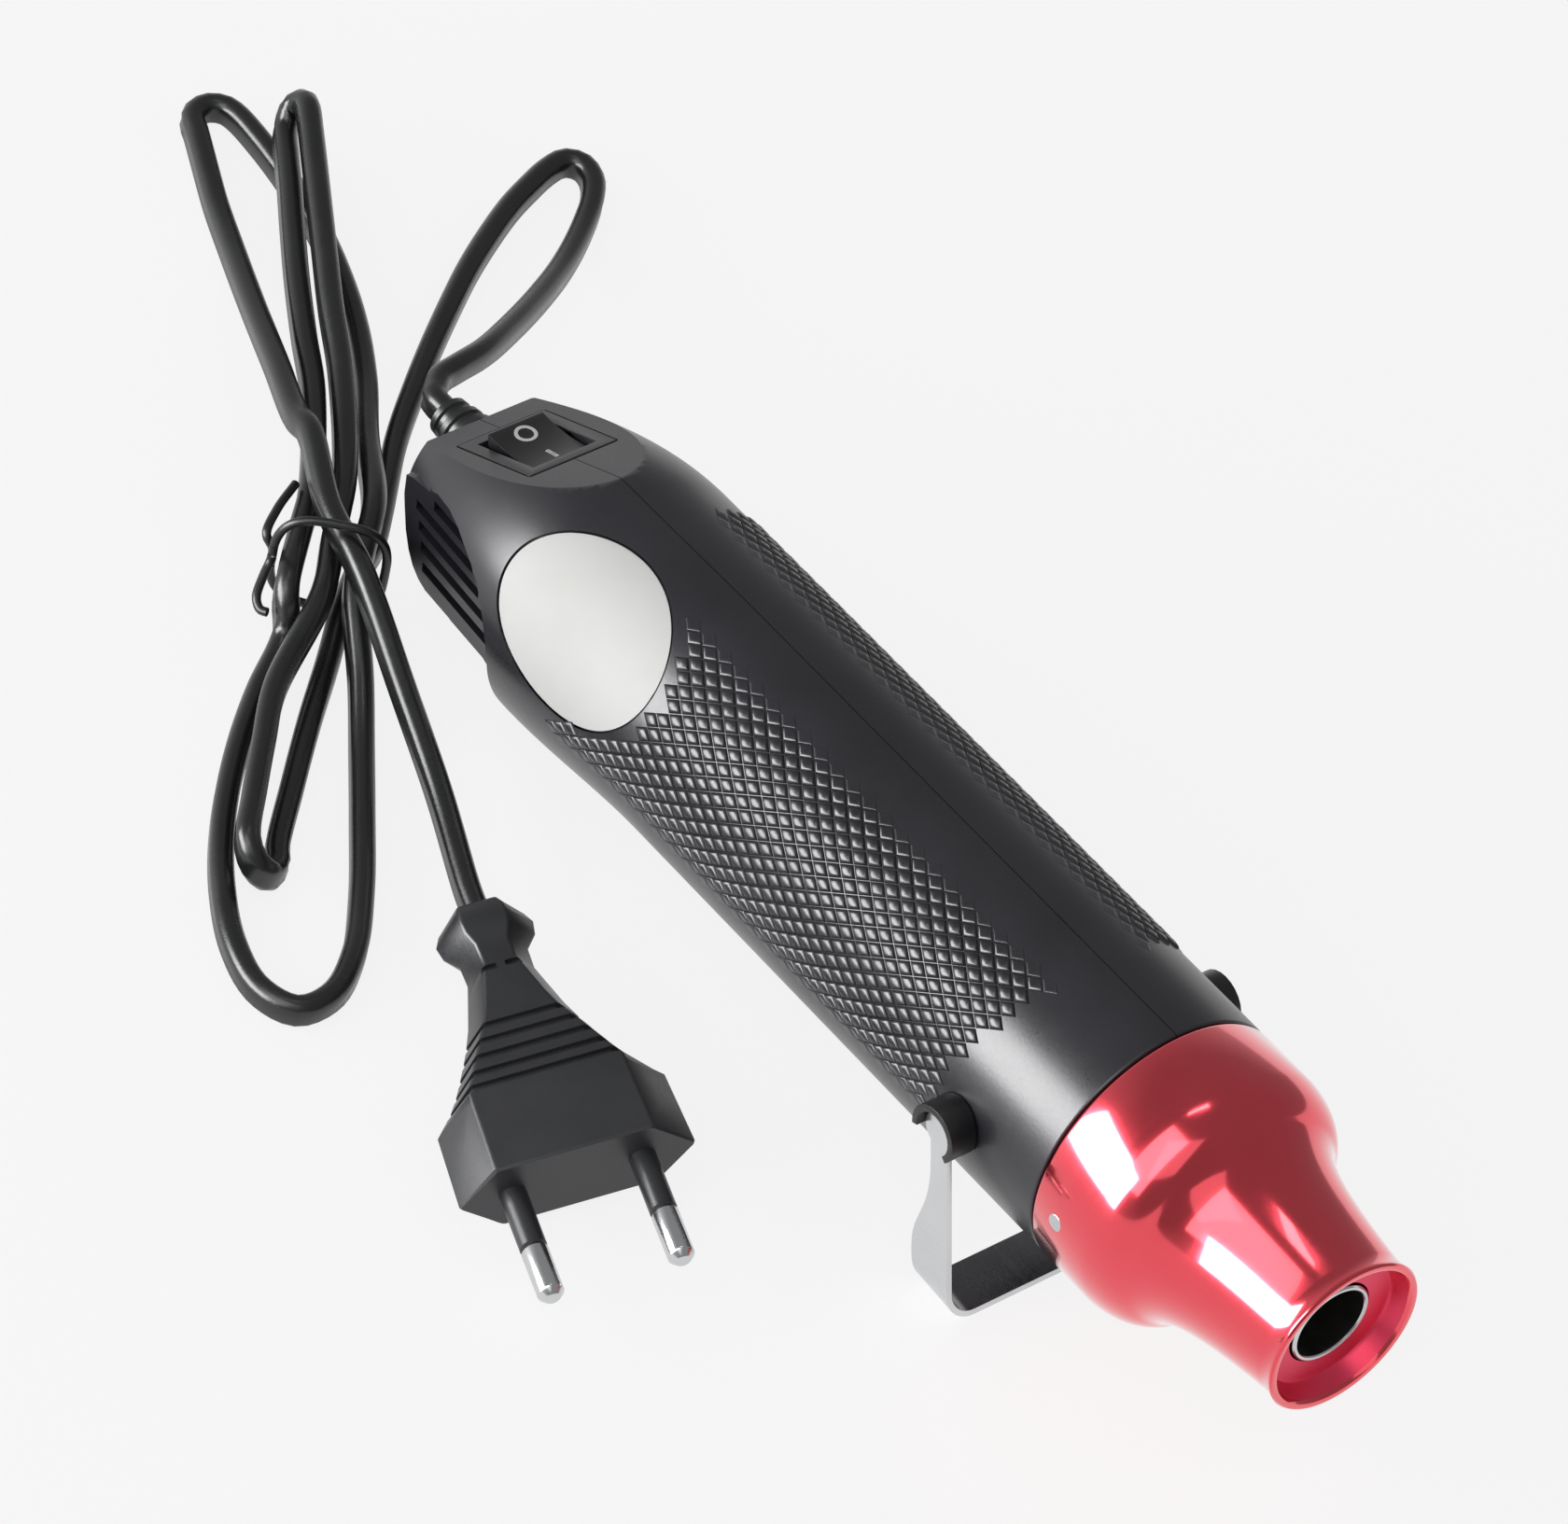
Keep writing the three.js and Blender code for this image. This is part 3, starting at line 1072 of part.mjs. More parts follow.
function waistPoint(across, level, along) {
  const dir = new THREE.Vector2(Math.cos(WAIST_HEADING), Math.sin(WAIST_HEADING));
  const side = new THREE.Vector2(-dir.y, dir.x);
  const spot = WAIST.clone().addScaledVector(dir, along).addScaledVector(side, across * WAIST_PITCH);
  return new THREE.Vector3(spot.x, spot.y, tieLift + CORD_WIDTH / 2 + level * LEVEL_PITCH);
}

function hankPoints() {
  const loops = [INNER_LOOP, UPPER_LOOP, OUTER_LOOP, LEFT_LOOP, []];
  return PASSES.flatMap((pass, i) => {
    const { enter, leave, level, before, after } = pass;
    const down = i % 2 === 0 ? 1 : -1;
    return [
      waistPoint(enter, level, -down * before), waistPoint((enter + leave) / 2, level, 0),
      waistPoint(leave, level, down * after), ...loops[i].map((spot) => new THREE.Vector3(...spot)),
    ];
  });
}

const plugAxis = new THREE.Vector3(Math.cos(PLUG_HEADING), Math.sin(PLUG_HEADING), 0);
const plugLength = -PLUG_STATIONS[0][0];
const plugHeight = 0.05 + Math.max(...PLUG_STATIONS.map(
  ([, , flat, rise]) => flat * Math.sin(PLUG_ROLL) + rise * Math.cos(PLUG_ROLL)));
const plugFace = new THREE.Vector3(PLUG_FACE.x, PLUG_FACE.y, plugHeight);
const plugEntry = plugFace.clone().addScaledVector(plugAxis, -plugLength - GAP);

const routePoints = [
  cordExit, cordExit.clone().addScaledVector(cordOut, CORD_WIDTH / 2),
  ...FIRST_LOOP.map((spot) => new THREE.Vector3(...spot)),
  ...hankPoints(),
  ...PLUG_RUN.map((spot) => new THREE.Vector3(...spot)),
  plugEntry.clone().addScaledVector(plugAxis, -CORD_WIDTH), plugEntry,
];
const route = new THREE.CatmullRomCurve3(routePoints, false, 'centripetal');
const cordLength = route.getLength();
const cordPoints = route.getSpacedPoints(Math.round(cordLength / CORD_STEP));
cordPoints.forEach((point) => point.setZ(Math.max(point.z, cordRest)));

// Two round cores side by side, one over the other
function coreGap(points) {
  const reach = (CORD_WIDTH - CORD_THICKNESS) / 2;
  const apart = Math.ceil((3 * CORD_WIDTH) / CORD_STEP);
  let least = Infinity;
  for (let i = 0; i < points.length; i += 1) {
    for (let j = i + apart; j < points.length; j += 1) {
      const flat = Math.hypot(points[i].x - points[j].x, points[i].y - points[j].y);
      const rise = Math.max(Math.abs(points[i].z - points[j].z) - 2 * reach, 0);
      least = Math.min(least, Math.hypot(flat, rise) - CORD_THICKNESS);
    }
  }
  return least;
}

function cordSection() {
  const half = CORD_THICKNESS / 2;
  const straight = CORD_WIDTH / 2 - half;
  const end = CORD_WIDTH / 2;
  return [
    [half, -straight], [half, straight], [0, end], [-half, straight], [-half, -straight], [0, -end],
  ];
}

// The cord keeps its roll from ring to ring round a fold and eases back on edge after it
function cordUps(points) {
  const ups = [];
  points.forEach((point, i) => {
    const along = tangentAt(points, i);
    const edge = new THREE.Vector3(0, 0, 1).addScaledVector(along, -along.z);
    const up = (ups[i - 1] ?? edge).clone();
    up.addScaledVector(along, -up.dot(along)).normalize();
    ups.push(up.addScaledVector(edge, up.dot(edge) < 0 ? -0.6 : 0.6).normalize());
  });
  return (i) => ups[i];
}

// Nearest sample to a point of the route, to part the cord there
function sampleAt(spot) {
  const gaps = cordPoints.map((point) => point.distanceTo(spot));
  return gaps.indexOf(Math.min(...gaps));
}

// A run of samples; where it meets another stretch it ends square to the route, half a clearance short
function stretch(from, to, trimStart, trimEnd) {
  const run = cordPoints.slice(from, to + 1);
  const tangent = (i) => cordPoints[i + 1].clone().sub(cordPoints[i - 1]).normalize();
  const square = (i, sign) => [GAP / 2, 3 * GAP].map(
    (reach) => cordPoints[i].clone().addScaledVector(tangent(i), sign * reach));
  if (trimStart) run.splice(0, 1, ...square(from, 1));
  if (trimEnd) run.splice(-1, 1, ...square(to, -1).reverse());
  return run;
}

function cordParts() {
  const first = sampleAt(new THREE.Vector3(...FIRST_LOOP.at(-2)));
  const last = sampleAt(new THREE.Vector3(...PLUG_RUN[1]));
  const section = cordSection();
  const end = cordPoints.length - 1;
  const gap = coreGap(cordPoints);
  console.log(`cord length ${cordLength.toFixed(1)} mm, hank gap to itself ${gap.toFixed(2)} mm`);
  const cord = (name, run) => part(name, sweep(run, section, cordUps(run)), rubber);
  return [
    cord('cord_lead', stretch(0, first, false, true)),
    cord('cord_hank', stretch(first, last, true, true)),
    cord('cord_tail', stretch(last, end, true, false)),
  ];
}

// Twist tie: one turn round the waist, from its curled end to its free end
function twistTie() {
  const low = TIE_RADIUS + 0.1;
  const high = tieLift + 3 * LEVEL_PITCH + TIE_RADIUS + 0.1;
  const middle = (low + high) / 2;
  const along = new THREE.Vector3(Math.cos(WAIST_HEADING), Math.sin(WAIST_HEADING), 0);
  const side = new THREE.Vector3(-along.y, along.x, 0);
  const square = (value) => Math.sign(value) * Math.abs(value) ** (2 / TIE_SQUARENESS);
  const steps = 28;
  const turn = Array.from({ length: steps + 1 }, (_, i) => {
    const angle = Math.PI - (2 * Math.PI * i) / steps;
    return new THREE.Vector3(WAIST.x, WAIST.y, middle + (high - middle) * square(Math.sin(angle)))
      .addScaledVector(side, TIE_HALF_WIDTH * square(Math.cos(angle)))
      .addScaledVector(along, TIE_STATION + TIE_PITCH * (0.5 - i / steps));
  });
  const led = (spots) => spots.map((spot) => new THREE.Vector3(...spot));
  const points = [...led(TIE_CURL), ...turn, ...led(TIE_END)];
  const run = new THREE.CatmullRomCurve3(points, false, 'centripetal').getSpacedPoints(64);
  return part('twist_tie', sweep(run, roundSection(TIE_RADIUS, 6)), black);
}

// Plug: a six-sided moulding lofted through its stations, with sleeves round the roots of the pins
function plugParts() {
  const moulding = loft(PLUG_STATIONS.map(([station, edge, flat, rise]) => [
    [edge, 0], [flat, rise], [-flat, rise], [-edge, 0], [-flat, -rise], [flat, -rise],
  ].map(([y, z]) => new THREE.Vector3(station, y, z))));
  const side = (sign) => sign * (PIN_PITCH / 2);
  const depth = SLEEVE_LENGTH;
  const sleeves = [-1, 1].map((sign) => solid(
    rod(PIN_RADIUS, -1, SLEEVE_LENGTH).translate(0, side(sign), 0)));
  const bores = [-1, 1].map((sign) => solid(
    rod(PIN_CORE + GAP, -depth - GAP, SLEEVE_LENGTH + 1).translate(0, side(sign), 0)));
  const body = cut(join(solid(moulding), ...sleeves), ...bores);
  const pins = [-1, 1].map((sign, i) => {
    const root = SLEEVE_LENGTH + GAP;
    const pin = turned([[-depth, 0], [-depth, PIN_CORE], [root, PIN_CORE], [root, PIN_RADIUS],
      [PIN_LENGTH - 1, PIN_RADIUS], [PIN_LENGTH, PIN_RADIUS - 0.9], [PIN_LENGTH, 0]]);
    return part(`plug_pin_${i + 1}`, pin.translate(0, side(sign), 0), steel);
  });
  const group = new THREE.Group();
  group.position.copy(plugFace);
  group.rotation.set(PLUG_ROLL, 0, PLUG_HEADING, 'ZYX');
  group.add(part('plug_body', body, black), ...pins);
  return group;
}

object.add(...cordParts(), twistTie(), plugParts());

export default object;
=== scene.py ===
"""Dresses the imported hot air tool: its mouldings, plated nozzle, switch, stand, lead and plug.

Each sub-assembly is drawn in millimetres along its own axis, shaped in edit mode, and then settled
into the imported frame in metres. The barrel's axis is X in the tool's own frame, its rear face is at
X = 0 and its switch is on top.
"""

from __future__ import annotations

import json
import logging
import math
from collections.abc import Callable, Iterator, Sequence
from contextlib import contextmanager
from dataclasses import dataclass, field
from enum import Enum

import bmesh
import bpy
import numpy as np
from mathutils import Matrix, Vector

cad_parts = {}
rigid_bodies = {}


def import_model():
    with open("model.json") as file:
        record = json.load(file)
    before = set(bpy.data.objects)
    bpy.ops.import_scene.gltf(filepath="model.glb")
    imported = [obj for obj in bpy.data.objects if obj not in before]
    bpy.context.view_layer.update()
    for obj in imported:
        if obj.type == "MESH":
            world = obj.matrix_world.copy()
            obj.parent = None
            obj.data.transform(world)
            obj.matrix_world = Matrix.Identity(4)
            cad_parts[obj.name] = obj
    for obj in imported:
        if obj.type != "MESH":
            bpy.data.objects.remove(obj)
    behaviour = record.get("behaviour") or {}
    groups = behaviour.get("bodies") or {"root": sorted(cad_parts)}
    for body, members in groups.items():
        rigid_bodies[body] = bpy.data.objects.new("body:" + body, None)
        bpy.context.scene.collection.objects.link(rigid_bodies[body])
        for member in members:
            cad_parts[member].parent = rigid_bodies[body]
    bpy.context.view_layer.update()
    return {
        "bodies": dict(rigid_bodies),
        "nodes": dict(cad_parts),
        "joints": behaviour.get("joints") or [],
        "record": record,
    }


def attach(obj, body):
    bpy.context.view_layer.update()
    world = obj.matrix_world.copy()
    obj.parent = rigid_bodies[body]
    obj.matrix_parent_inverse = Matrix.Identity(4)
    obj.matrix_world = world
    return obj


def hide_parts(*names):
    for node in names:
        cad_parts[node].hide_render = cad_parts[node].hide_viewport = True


log = logging.getLogger("hot_air_tool")

MM = 0.001
Profile = Sequence[tuple[float, float]]
Profile3 = Sequence[tuple[float, float, float]]


class Body(Enum):
    """The bodies that pieces ride on."""

    TOOL = "body"
    STAND = "stand"
    ROCKER = "rocker"


class Cut(Enum):
    """What one solid does to another."""

    TAKE_AWAY = "DIFFERENCE"
    KEEP_COMMON = "INTERSECT"
    ADD = "UNION"


class Side(Enum):
    """The two halves of the casing, by the sign of Y."""

    LEFT = -1
    RIGHT = 1


class Surface(Enum):
    """How a surface was made, which sets the direction of its fine lines."""

    MOULDED = (1.0, 1.0, 1.0)
    SPUN = (1.0, 0.04, 0.04)
    DRAWN = (0.05, 1.0, 1.0)


def linear(colour: str) -> tuple[float, float, float, float]:
    """Turns an sRGB hex colour to the linear RGBA that shaders read.

    Args:
        colour: A colour such as "#3a3b40".

    Returns:
        Linear red, green, blue and an alpha of 1.
    """
    parts = [int(colour[i : i + 2], 16) / 255 for i in (1, 3, 5)]
    red, green, blue = (c / 12.92 if c <= 0.04045 else ((c + 0.055) / 1.055) ** 2.4 for c in parts)
    return red, green, blue, 1.0


def add_node(
    tree: bpy.types.NodeTree,
    kind: str,
    settings: dict[str, object] | None = None,
    inputs: dict[str | int, object] | None = None,
) -> bpy.types.Node:
    """Adds a node with its settings, socket values and links.

    Args:
        tree: The node tree to add to.
        kind: The node's type name.
        settings: Properties of the node.
        inputs: Values or output sockets by the input's identifier, name or number.

    Returns:
        The new node.
    """
    node = tree.nodes.new(kind)
    for key, value in (settings or {}).items():
        setattr(node, key, value)
    for key, value in (inputs or {}).items():
        named = [socket for socket in node.inputs if socket.identifier == key]
        socket = named[0] if named else node.inputs[key]
        if isinstance(value, bpy.types.NodeSocket):
            tree.links.new(value, socket)
        else:
            socket.default_value = value
    return node


@dataclass(frozen=True)
class Finish:
    """A surface finish: a base colour that drifts a little, a grain, and uneven gloss."""

    name: str
    slot: str
    colour: str
    drift: str
    roughness: tuple[float, float]
    metallic: float = 0.0
    ior: float = 1.5
    coat: float = 0.0
    sheen: float = 0.0
    drift_mm: float = 18.0
    grain_mm: float = 0.6
    grain_height_mm: float = 0.02
    surface: Surface = Surface.MOULDED

    def material(self) -> bpy.types.Material:
        """Builds the node material, or finds it if it was built before.

        Returns:
            The material of this finish.
        """
        made = bpy.data.materials.get(self.name)
        if made is not None:
            return made
        made = bpy.data.materials.new(self.name)
        made.use_nodes = True
        tree = made.node_tree
        tree.nodes.clear()
        place = add_node(tree, "ShaderNodeTexCoord").outputs["Object"]
        lines = add_node(
            tree,
            "ShaderNodeMapping",
            inputs={"Vector": place, "Scale": self.surface.value},
        ).outputs["Vector"]
        slow = add_node(
            tree,
            "ShaderNodeTexNoise",
            inputs={"Vector": place, "Scale": 1 / (self.drift_mm * MM), "Detail": 4.0},
        )
        fine = add_node(
            tree,
            "ShaderNodeTexNoise",
            inputs={"Vector": lines, "Scale": 1 / (self.grain_mm * MM), "Detail": 2.0},
        )
        blend = add_node(
            tree,
            "ShaderNodeMapRange",
            inputs={"Value": slow.outputs["Fac"], "From Min": 0.35, "From Max": 0.65},
        )
        tint = add_node(
            tree,
            "ShaderNodeMix",
            {"data_type": "RGBA"},
            {
                "Factor_Float": blend.outputs["Result"],
                "A_Color": linear(self.colour),
                "B_Color": linear(self.drift),
            },
        )
        worn = add_node(
            tree,
            "ShaderNodeMath",
            {"operation": "MULTIPLY_ADD"},
            {0: fine.outputs["Fac"], 1: 0.5, 2: slow.outputs["Fac"]},
        )
        gloss = add_node(
            tree,
            "ShaderNodeMapRange",
            inputs={
                "Value": worn.outputs["Value"],
                "From Min": 0.5,
                "From Max": 1.0,
                "To Min": self.roughness[0],
                "To Max": self.roughness[1],
            },
        )
        bump = add_node(
            tree,
            "ShaderNodeBump",
            inputs={
                "Height": fine.outputs["Fac"],
                "Distance": self.grain_height_mm * MM,
                "Strength": 1.0,
            },
        )
        shader = add_node(
            tree,
            "ShaderNodeBsdfPrincipled",
            inputs={
                "Base Color": tint.outputs[2],
                "Metallic": self.metallic,
                "Roughness": gloss.outputs["Result"],
                "IOR": self.ior,
                "Coat Weight": self.coat,
                "Coat Roughness": 0.04,
                "Sheen Weight": self.sheen,
                "Normal": bump.outputs["Normal"],
            },
        )
        add_node(tree, "ShaderNodeOutputMaterial", inputs={"Surface": shader.outputs["BSDF"]})
        return made


# Acrylonitrile butadiene styrene, moulded in a lightly eroded tool: a soft, even sheen
CHARCOAL_ABS = Finish(
    "charcoal moulded ABS", "charcoal", "#25252b", "#2a2a31", (0.26, 0.36), ior=1.55, grain_mm=0.45,
    grain_height_mm=0.01,
)
# Black nylon, moulded smooth: darker and a little glossier than the casing
BLACK_NYLON = Finish(
    "black moulded nylon", "black", "#17181b", "#1d1e21", (0.3, 0.42), grain_mm=0.4,
    grain_height_mm=0.008,
)
# The switch's own moulding, matched to the casing: only its edge tells it apart
CHARCOAL_NYLON = Finish(
    "charcoal moulded nylon", "black", "#25252a", "#2b2b30", (0.28, 0.38), ior=1.55, grain_mm=0.4,
    grain_height_mm=0.008,
)
# Thermoplastic plug moulding: black with a waxy sheen
BLACK_PLUG = Finish(
    "black moulded plug vinyl", "black", "#292a2d", "#303135", (0.3, 0.42), ior=1.55, grain_mm=0.5,
    grain_height_mm=0.012,
)
# Extruded flexible PVC: long soft highlights, broken by faint handling marks
BLACK_PVC = Finish(
    "black extruded PVC", "rubber", "#1b1c1e", "#232426", (0.24, 0.36), ior=1.55, grain_mm=0.7,
    grain_height_mm=0.01,
)
# Drawn metal, polished and tinted with clear red lacquer: deep colour with a sharp clear gloss
RED_LACQUER = Finish(
    "red lacquered polished metal", "red_plating", "#e8414f", "#ee4a58", (0.13, 0.19), metallic=1.0,
    coat=1.0, drift_mm=30, grain_mm=0.8, grain_height_mm=0.0015, surface=Surface.SPUN,
)
# Inside of the same nozzle, with painted light: a brighter, pinker red stands in for the light that
# the recessed mouth catches
RED_MOUTH_PAINTED_LIGHT = Finish(
    "red nozzle mouth painted lighter", "red_plating", "#ee3a5a", "#f4486a", (0.25, 0.35), metallic=0.6,
    drift_mm=12, grain_mm=0.8, grain_height_mm=0.003, surface=Surface.SPUN,
)
# Stainless tube, cut and deburred
BRIGHT_STEEL = Finish(
    "bright stainless steel", "steel", "#d2d3d4", "#c4c5c7", (0.16, 0.26), metallic=1.0,
    grain_mm=0.5, grain_height_mm=0.002, surface=Surface.DRAWN,
)
# Spring steel strip, barrel polished and nickel plated
POLISHED_STEEL = Finish(
    "polished spring steel", "polished_steel", "#d8d9da", "#cbccce", (0.2, 0.3), metallic=1.0,
    grain_mm=0.9, grain_height_mm=0.002, surface=Surface.DRAWN,
)
# Printed polyester film, left blank: white with a dull satin face
WHITE_FILM = Finish(
    "white polyester film", "paper", "#f1f1ef", "#ecece9", (0.6, 0.7), ior=1.35, grain_mm=0.35,
    grain_height_mm=0.004,
)
# Pad printing ink on the rocker
WHITE_INK = Finish(
    "white pad printing ink", "paper", "#e9e9e6", "#dededb", (0.5, 0.62), grain_mm=0.2,
    grain_height_mm=0.006,
)
INNER_FINISHES: dict[str, Finish] = {
    "mica": Finish("silver mica paper", "mica", "#b9a27c", "#a98f68", (0.5, 0.7), grain_mm=0.9),
    "nichrome": Finish("oxidised nichrome wire", "nichrome", "#77716a", "#5d5852", (0.4, 0.6), 1.0),
    "board": Finish(
        "green glass laminate", "board", "#2f6b46", "#285c3c", (0.35, 0.5), grain_mm=0.8
    ),
    "brass": Finish("stamped brass", "brass", "#b8995a", "#a5874b", (0.25, 0.4), 1.0),
    "nylon": Finish("natural nylon", "nylon", "#e2ded2", "#d9d4c6", (0.4, 0.55), grain_mm=0.5),
    "brown_wire": Finish("brown sleeved wire", "brown_wire", "#6b4023", "#5f381e", (0.4, 0.55)),
    "blue_wire": Finish("blue sleeved wire", "blue_wire", "#2c4a8c", "#27427e", (0.4, 0.55)),
    "steel": Finish("zinc plated steel", "steel", "#c4c6c8", "#b4b6b9", (0.25, 0.4), 1.0),
    "black": Finish("black glass filled nylon", "black", "#1a1b1d", "#222326", (0.4, 0.55)),
}


def activate(obj: bpy.types.Object) -> None:
    """Makes an object the only selected one, in object mode."""
    if bpy.context.mode != "OBJECT":
        bpy.ops.object.mode_set(mode="OBJECT")
    bpy.ops.object.select_all(action="DESELECT")
    obj.select_set(True)
    bpy.context.view_layer.objects.active = obj


@contextmanager
def editing(obj: bpy.types.Object, mode: str = "VERT") -> Iterator[bmesh.types.BMesh]:
    """Opens a mesh in edit mode with nothing selected.

    Args:
        obj: The mesh object.
        mode: VERT, EDGE or FACE selection.

    Returns:
        The mesh in edit mode, to select from.
    """
    activate(obj)
    bpy.ops.object.mode_set(mode="EDIT")
    bpy.ops.mesh.select_mode(type=mode)
    bpy.ops.mesh.select_all(action="DESELECT")
    yield bmesh.from_edit_mesh(obj.data)
    bpy.ops.object.mode_set(mode="OBJECT")


def select(mesh: bmesh.types.BMesh, parts: Sequence, chosen: Callable[[object], bool]) -> None:
    """Selects the vertices, edges or faces that pass a test.

    Args:
        mesh: The mesh in edit mode.
        parts: Its verts, edges or faces.
        chosen: The test for each of them.
    """
    for part in parts:
        part.select_set(chosen(part))
    mesh.select_flush_mode()


def activate_nothing() -> None:
    """Leaves edit mode with nothing selected."""
    if bpy.context.mode != "OBJECT":
        bpy.ops.object.mode_set(mode="OBJECT")
    bpy.ops.object.select_all(action="DESELECT")


def sketch(name: str, corners: int) -> bpy.types.Object:
    """Opens a new flat outline in edit mode, all of it selected.

    Args:
        name: The new object's name.
        corners: Corners round the outline, which has a radius of 1.

    Returns:
        The outline, filled with one face.
    """
    activate_nothing()
    bpy.ops.mesh.primitive_circle_add(
        vertices=corners, radius=1, fill_type="NGON", enter_editmode=True
    )
    bpy.ops.mesh.select_mode(type="VERT")
    bpy.ops.mesh.select_all(action="SELECT")
    bpy.context.object.name = name
    return bpy.context.object


def close_up(obj: bpy.types.Object) -> bpy.types.Object:
    """Turns all faces of a mesh in edit mode outwards and leaves edit mode."""
    bpy.ops.mesh.select_all(action="SELECT")
    bpy.ops.mesh.normals_make_consistent(inside=False)
    bpy.ops.object.mode_set(mode="OBJECT")
    return obj


def shift(value: Sequence[float]) -> None:
    """Extrudes what is selected along a vector."""
    bpy.ops.mesh.extrude_region_move(TRANSFORM_OT_translate={"value": tuple(value)})


def revolve(name: str, profile: Profile, steps: int) -> bpy.types.Object:
    """Spins a profile about the X axis.

    Args:
        name: The new object's name.
        profile: Pairs of station along X and radius, in order.
        steps: Faces round the axis.

    Returns:
        A closed, turned solid.
    """
    obj = sketch(name, 3)
    bpy.ops.mesh.merge(type="CENTER")
    bpy.ops.transform.translate(value=(profile[0][0], 0, profile[0][1]))
    for (x0, r0), (x1, r1) in zip(profile, profile[1:]):
        bpy.ops.mesh.extrude_vertices_move(TRANSFORM_OT_translate={"value": (x1 - x0, 0, r1 - r0)})
    bpy.ops.mesh.select_all(action="SELECT")
    bpy.ops.mesh.spin(steps=steps, angle=2 * math.pi, center=(0, 0, 0), axis=(1, 0, 0))
    bpy.ops.mesh.select_all(action="SELECT")
    bpy.ops.mesh.remove_doubles(threshold=0.0005)
    return close_up(obj)


def rod(name: str, start: float, end: float, radius: float, steps: int = 32) -> bpy.types.Object:
    """Turns a plain round rod about the X axis, from one station to another."""
    return revolve(name, [(start, 0), (start, radius), (end, radius), (end, 0)], steps)


def prism(name: str, points: Profile, near: float, far: float) -> bpy.types.Object:
    """Extrudes an outline drawn in X and Z along Y.

    Args:
        name: The new object's name.
        points: Corners as pairs of X and Z.
        near: Y of the first face.
        far: Y of the second face.

    Returns:
        A closed prism.
    """
    obj = sketch(name, len(points))
    mesh = bmesh.from_edit_mesh(obj.data)
    for vert, (x, z) in zip(mesh.verts, points):
        vert.co = (x, near, z)
    bmesh.update_edit_mesh(obj.data)
    shift((0, far - near, 0))
    return close_up(obj)


def box(
    name: str, size: Sequence[float], place: Matrix, round_off: float = 0.0
) -> bpy.types.Object:
    """Adds a block, with its upright edges rounded if asked.

    Args:
        name: The new object's name.
        size: Length, width and height.
        place: Where its centre goes.
        round_off: Radius of the edges along Z.

    Returns:
        The block, with its place in its mesh.
    """
    activate_nothing()
    bpy.ops.mesh.primitive_cube_add(size=1)
    obj = bpy.context.object
    obj.name = name
    obj.data.transform(Matrix.Diagonal((*size, 1)))
    if round_off:
        with editing(obj, "EDGE") as mesh:
            select(
                mesh, mesh.edges,
                lambda e: abs((e.verts[0].co - e.verts[1].co).z) > 0.5 * size[2],
            )
            bpy.ops.mesh.bevel(offset=round_off, segments=4, affect="EDGES")
    obj.data.transform(place)
    return obj


def carve(
    obj: bpy.types.Object, tool: bpy.types.Object, how: Cut = Cut.TAKE_AWAY
) -> bpy.types.Object:
    """Cuts, joins or crosses one solid with another and removes the second.

    Args:
        obj: The solid that stays.
        tool: The solid that is used up.
        how: Which of the three.

    Returns:
        The first solid.
    """
    activate(obj)
    step = obj.modifiers.new("carve", "BOOLEAN")
    step.operation = how.value
    step.solver = "EXACT"
    step.object = tool
    bpy.ops.object.modifier_apply(modifier=step.name)
    bpy.data.objects.remove(tool)
    return obj


def weld(obj: bpy.types.Object, reach: float) -> bpy.types.Object:
    """Joins the vertices of a solid that lie closer together than a reach.

    A cut leaves slivers where edges nearly meet, and the next cut can fail on them.
    """
    with editing(obj):
        bpy.ops.mesh.select_all(action="SELECT")
        bpy.ops.mesh.remove_doubles(threshold=reach)
    return obj


def copy_of(obj: bpy.types.Object, name: str) -> bpy.types.Object:
    """Copies an object with a mesh of its own."""
    twin = obj.copy()
    twin.data = obj.data.copy()
    twin.name = name
    bpy.context.scene.collection.objects.link(twin)
    return twin


def ease_edges(obj: bpy.types.Object, width: float, segments: int = 2, angle: float = 35.0) -> None:
    """Rounds the sharp edges of a solid and applies the bevel.

    Args:
        obj: The solid.
        width: Width of the rounding, in the object's own units.
        segments: Faces across it.
        angle: Edges sharper than this many degrees are rounded.
    """
    activate(obj)
    step = obj.modifiers.new("ease", "BEVEL")
    step.width = width
    step.segments = segments
    step.limit_method = "ANGLE"
    step.angle_limit = math.radians(angle)
    bpy.ops.object.modifier_apply(modifier=step.name)


def smooth(obj: bpy.types.Object, angle: float = 30.0) -> None:
    """Shades a mesh smooth, with its sharp edges kept."""
    activate(obj)
    bpy.ops.object.shade_smooth_by_angle(angle=math.radians(angle))


def level_flats(obj: bpy.types.Object) -> None:
    """Weights the shading by face area, so that a flat beside a rounding looks flat."""
    activate(obj)
    step = obj.modifiers.new("level", "WEIGHTED_NORMAL")
    step.keep_sharp = True
    bpy.ops.object.modifier_apply(modifier=step.name)


def merge_into(obj: bpy.types.Object, others: Sequence[bpy.types.Object]) -> bpy.types.Object:
    """Joins other meshes into one object."""
    activate(obj)
    for other in others:
        other.select_set(True)
    bpy.ops.object.join()
    return obj


def dress(
    obj: bpy.types.Object,
    finish: Finish,
    body: Body = Body.TOOL,
    nodes: Sequence[str] = (),
) -> bpy.types.Object:
    """Gives a finished piece its material, its body and the CAD nodes it stands for.

    Args:
        obj: The piece, in metres and in place.
        finish: Its finish.
        body: The body it moves with.
        nodes: CAD nodes that it replaces.

    Returns:
        The piece.
    """
    obj.data.materials.clear()
    obj.data.materials.append(finish.material())
    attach(obj, body.value)
    if nodes:
        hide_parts(*nodes)
    log.info("%s: %d faces, %s", obj.name, len(obj.data.polygons), finish.name)
    return obj


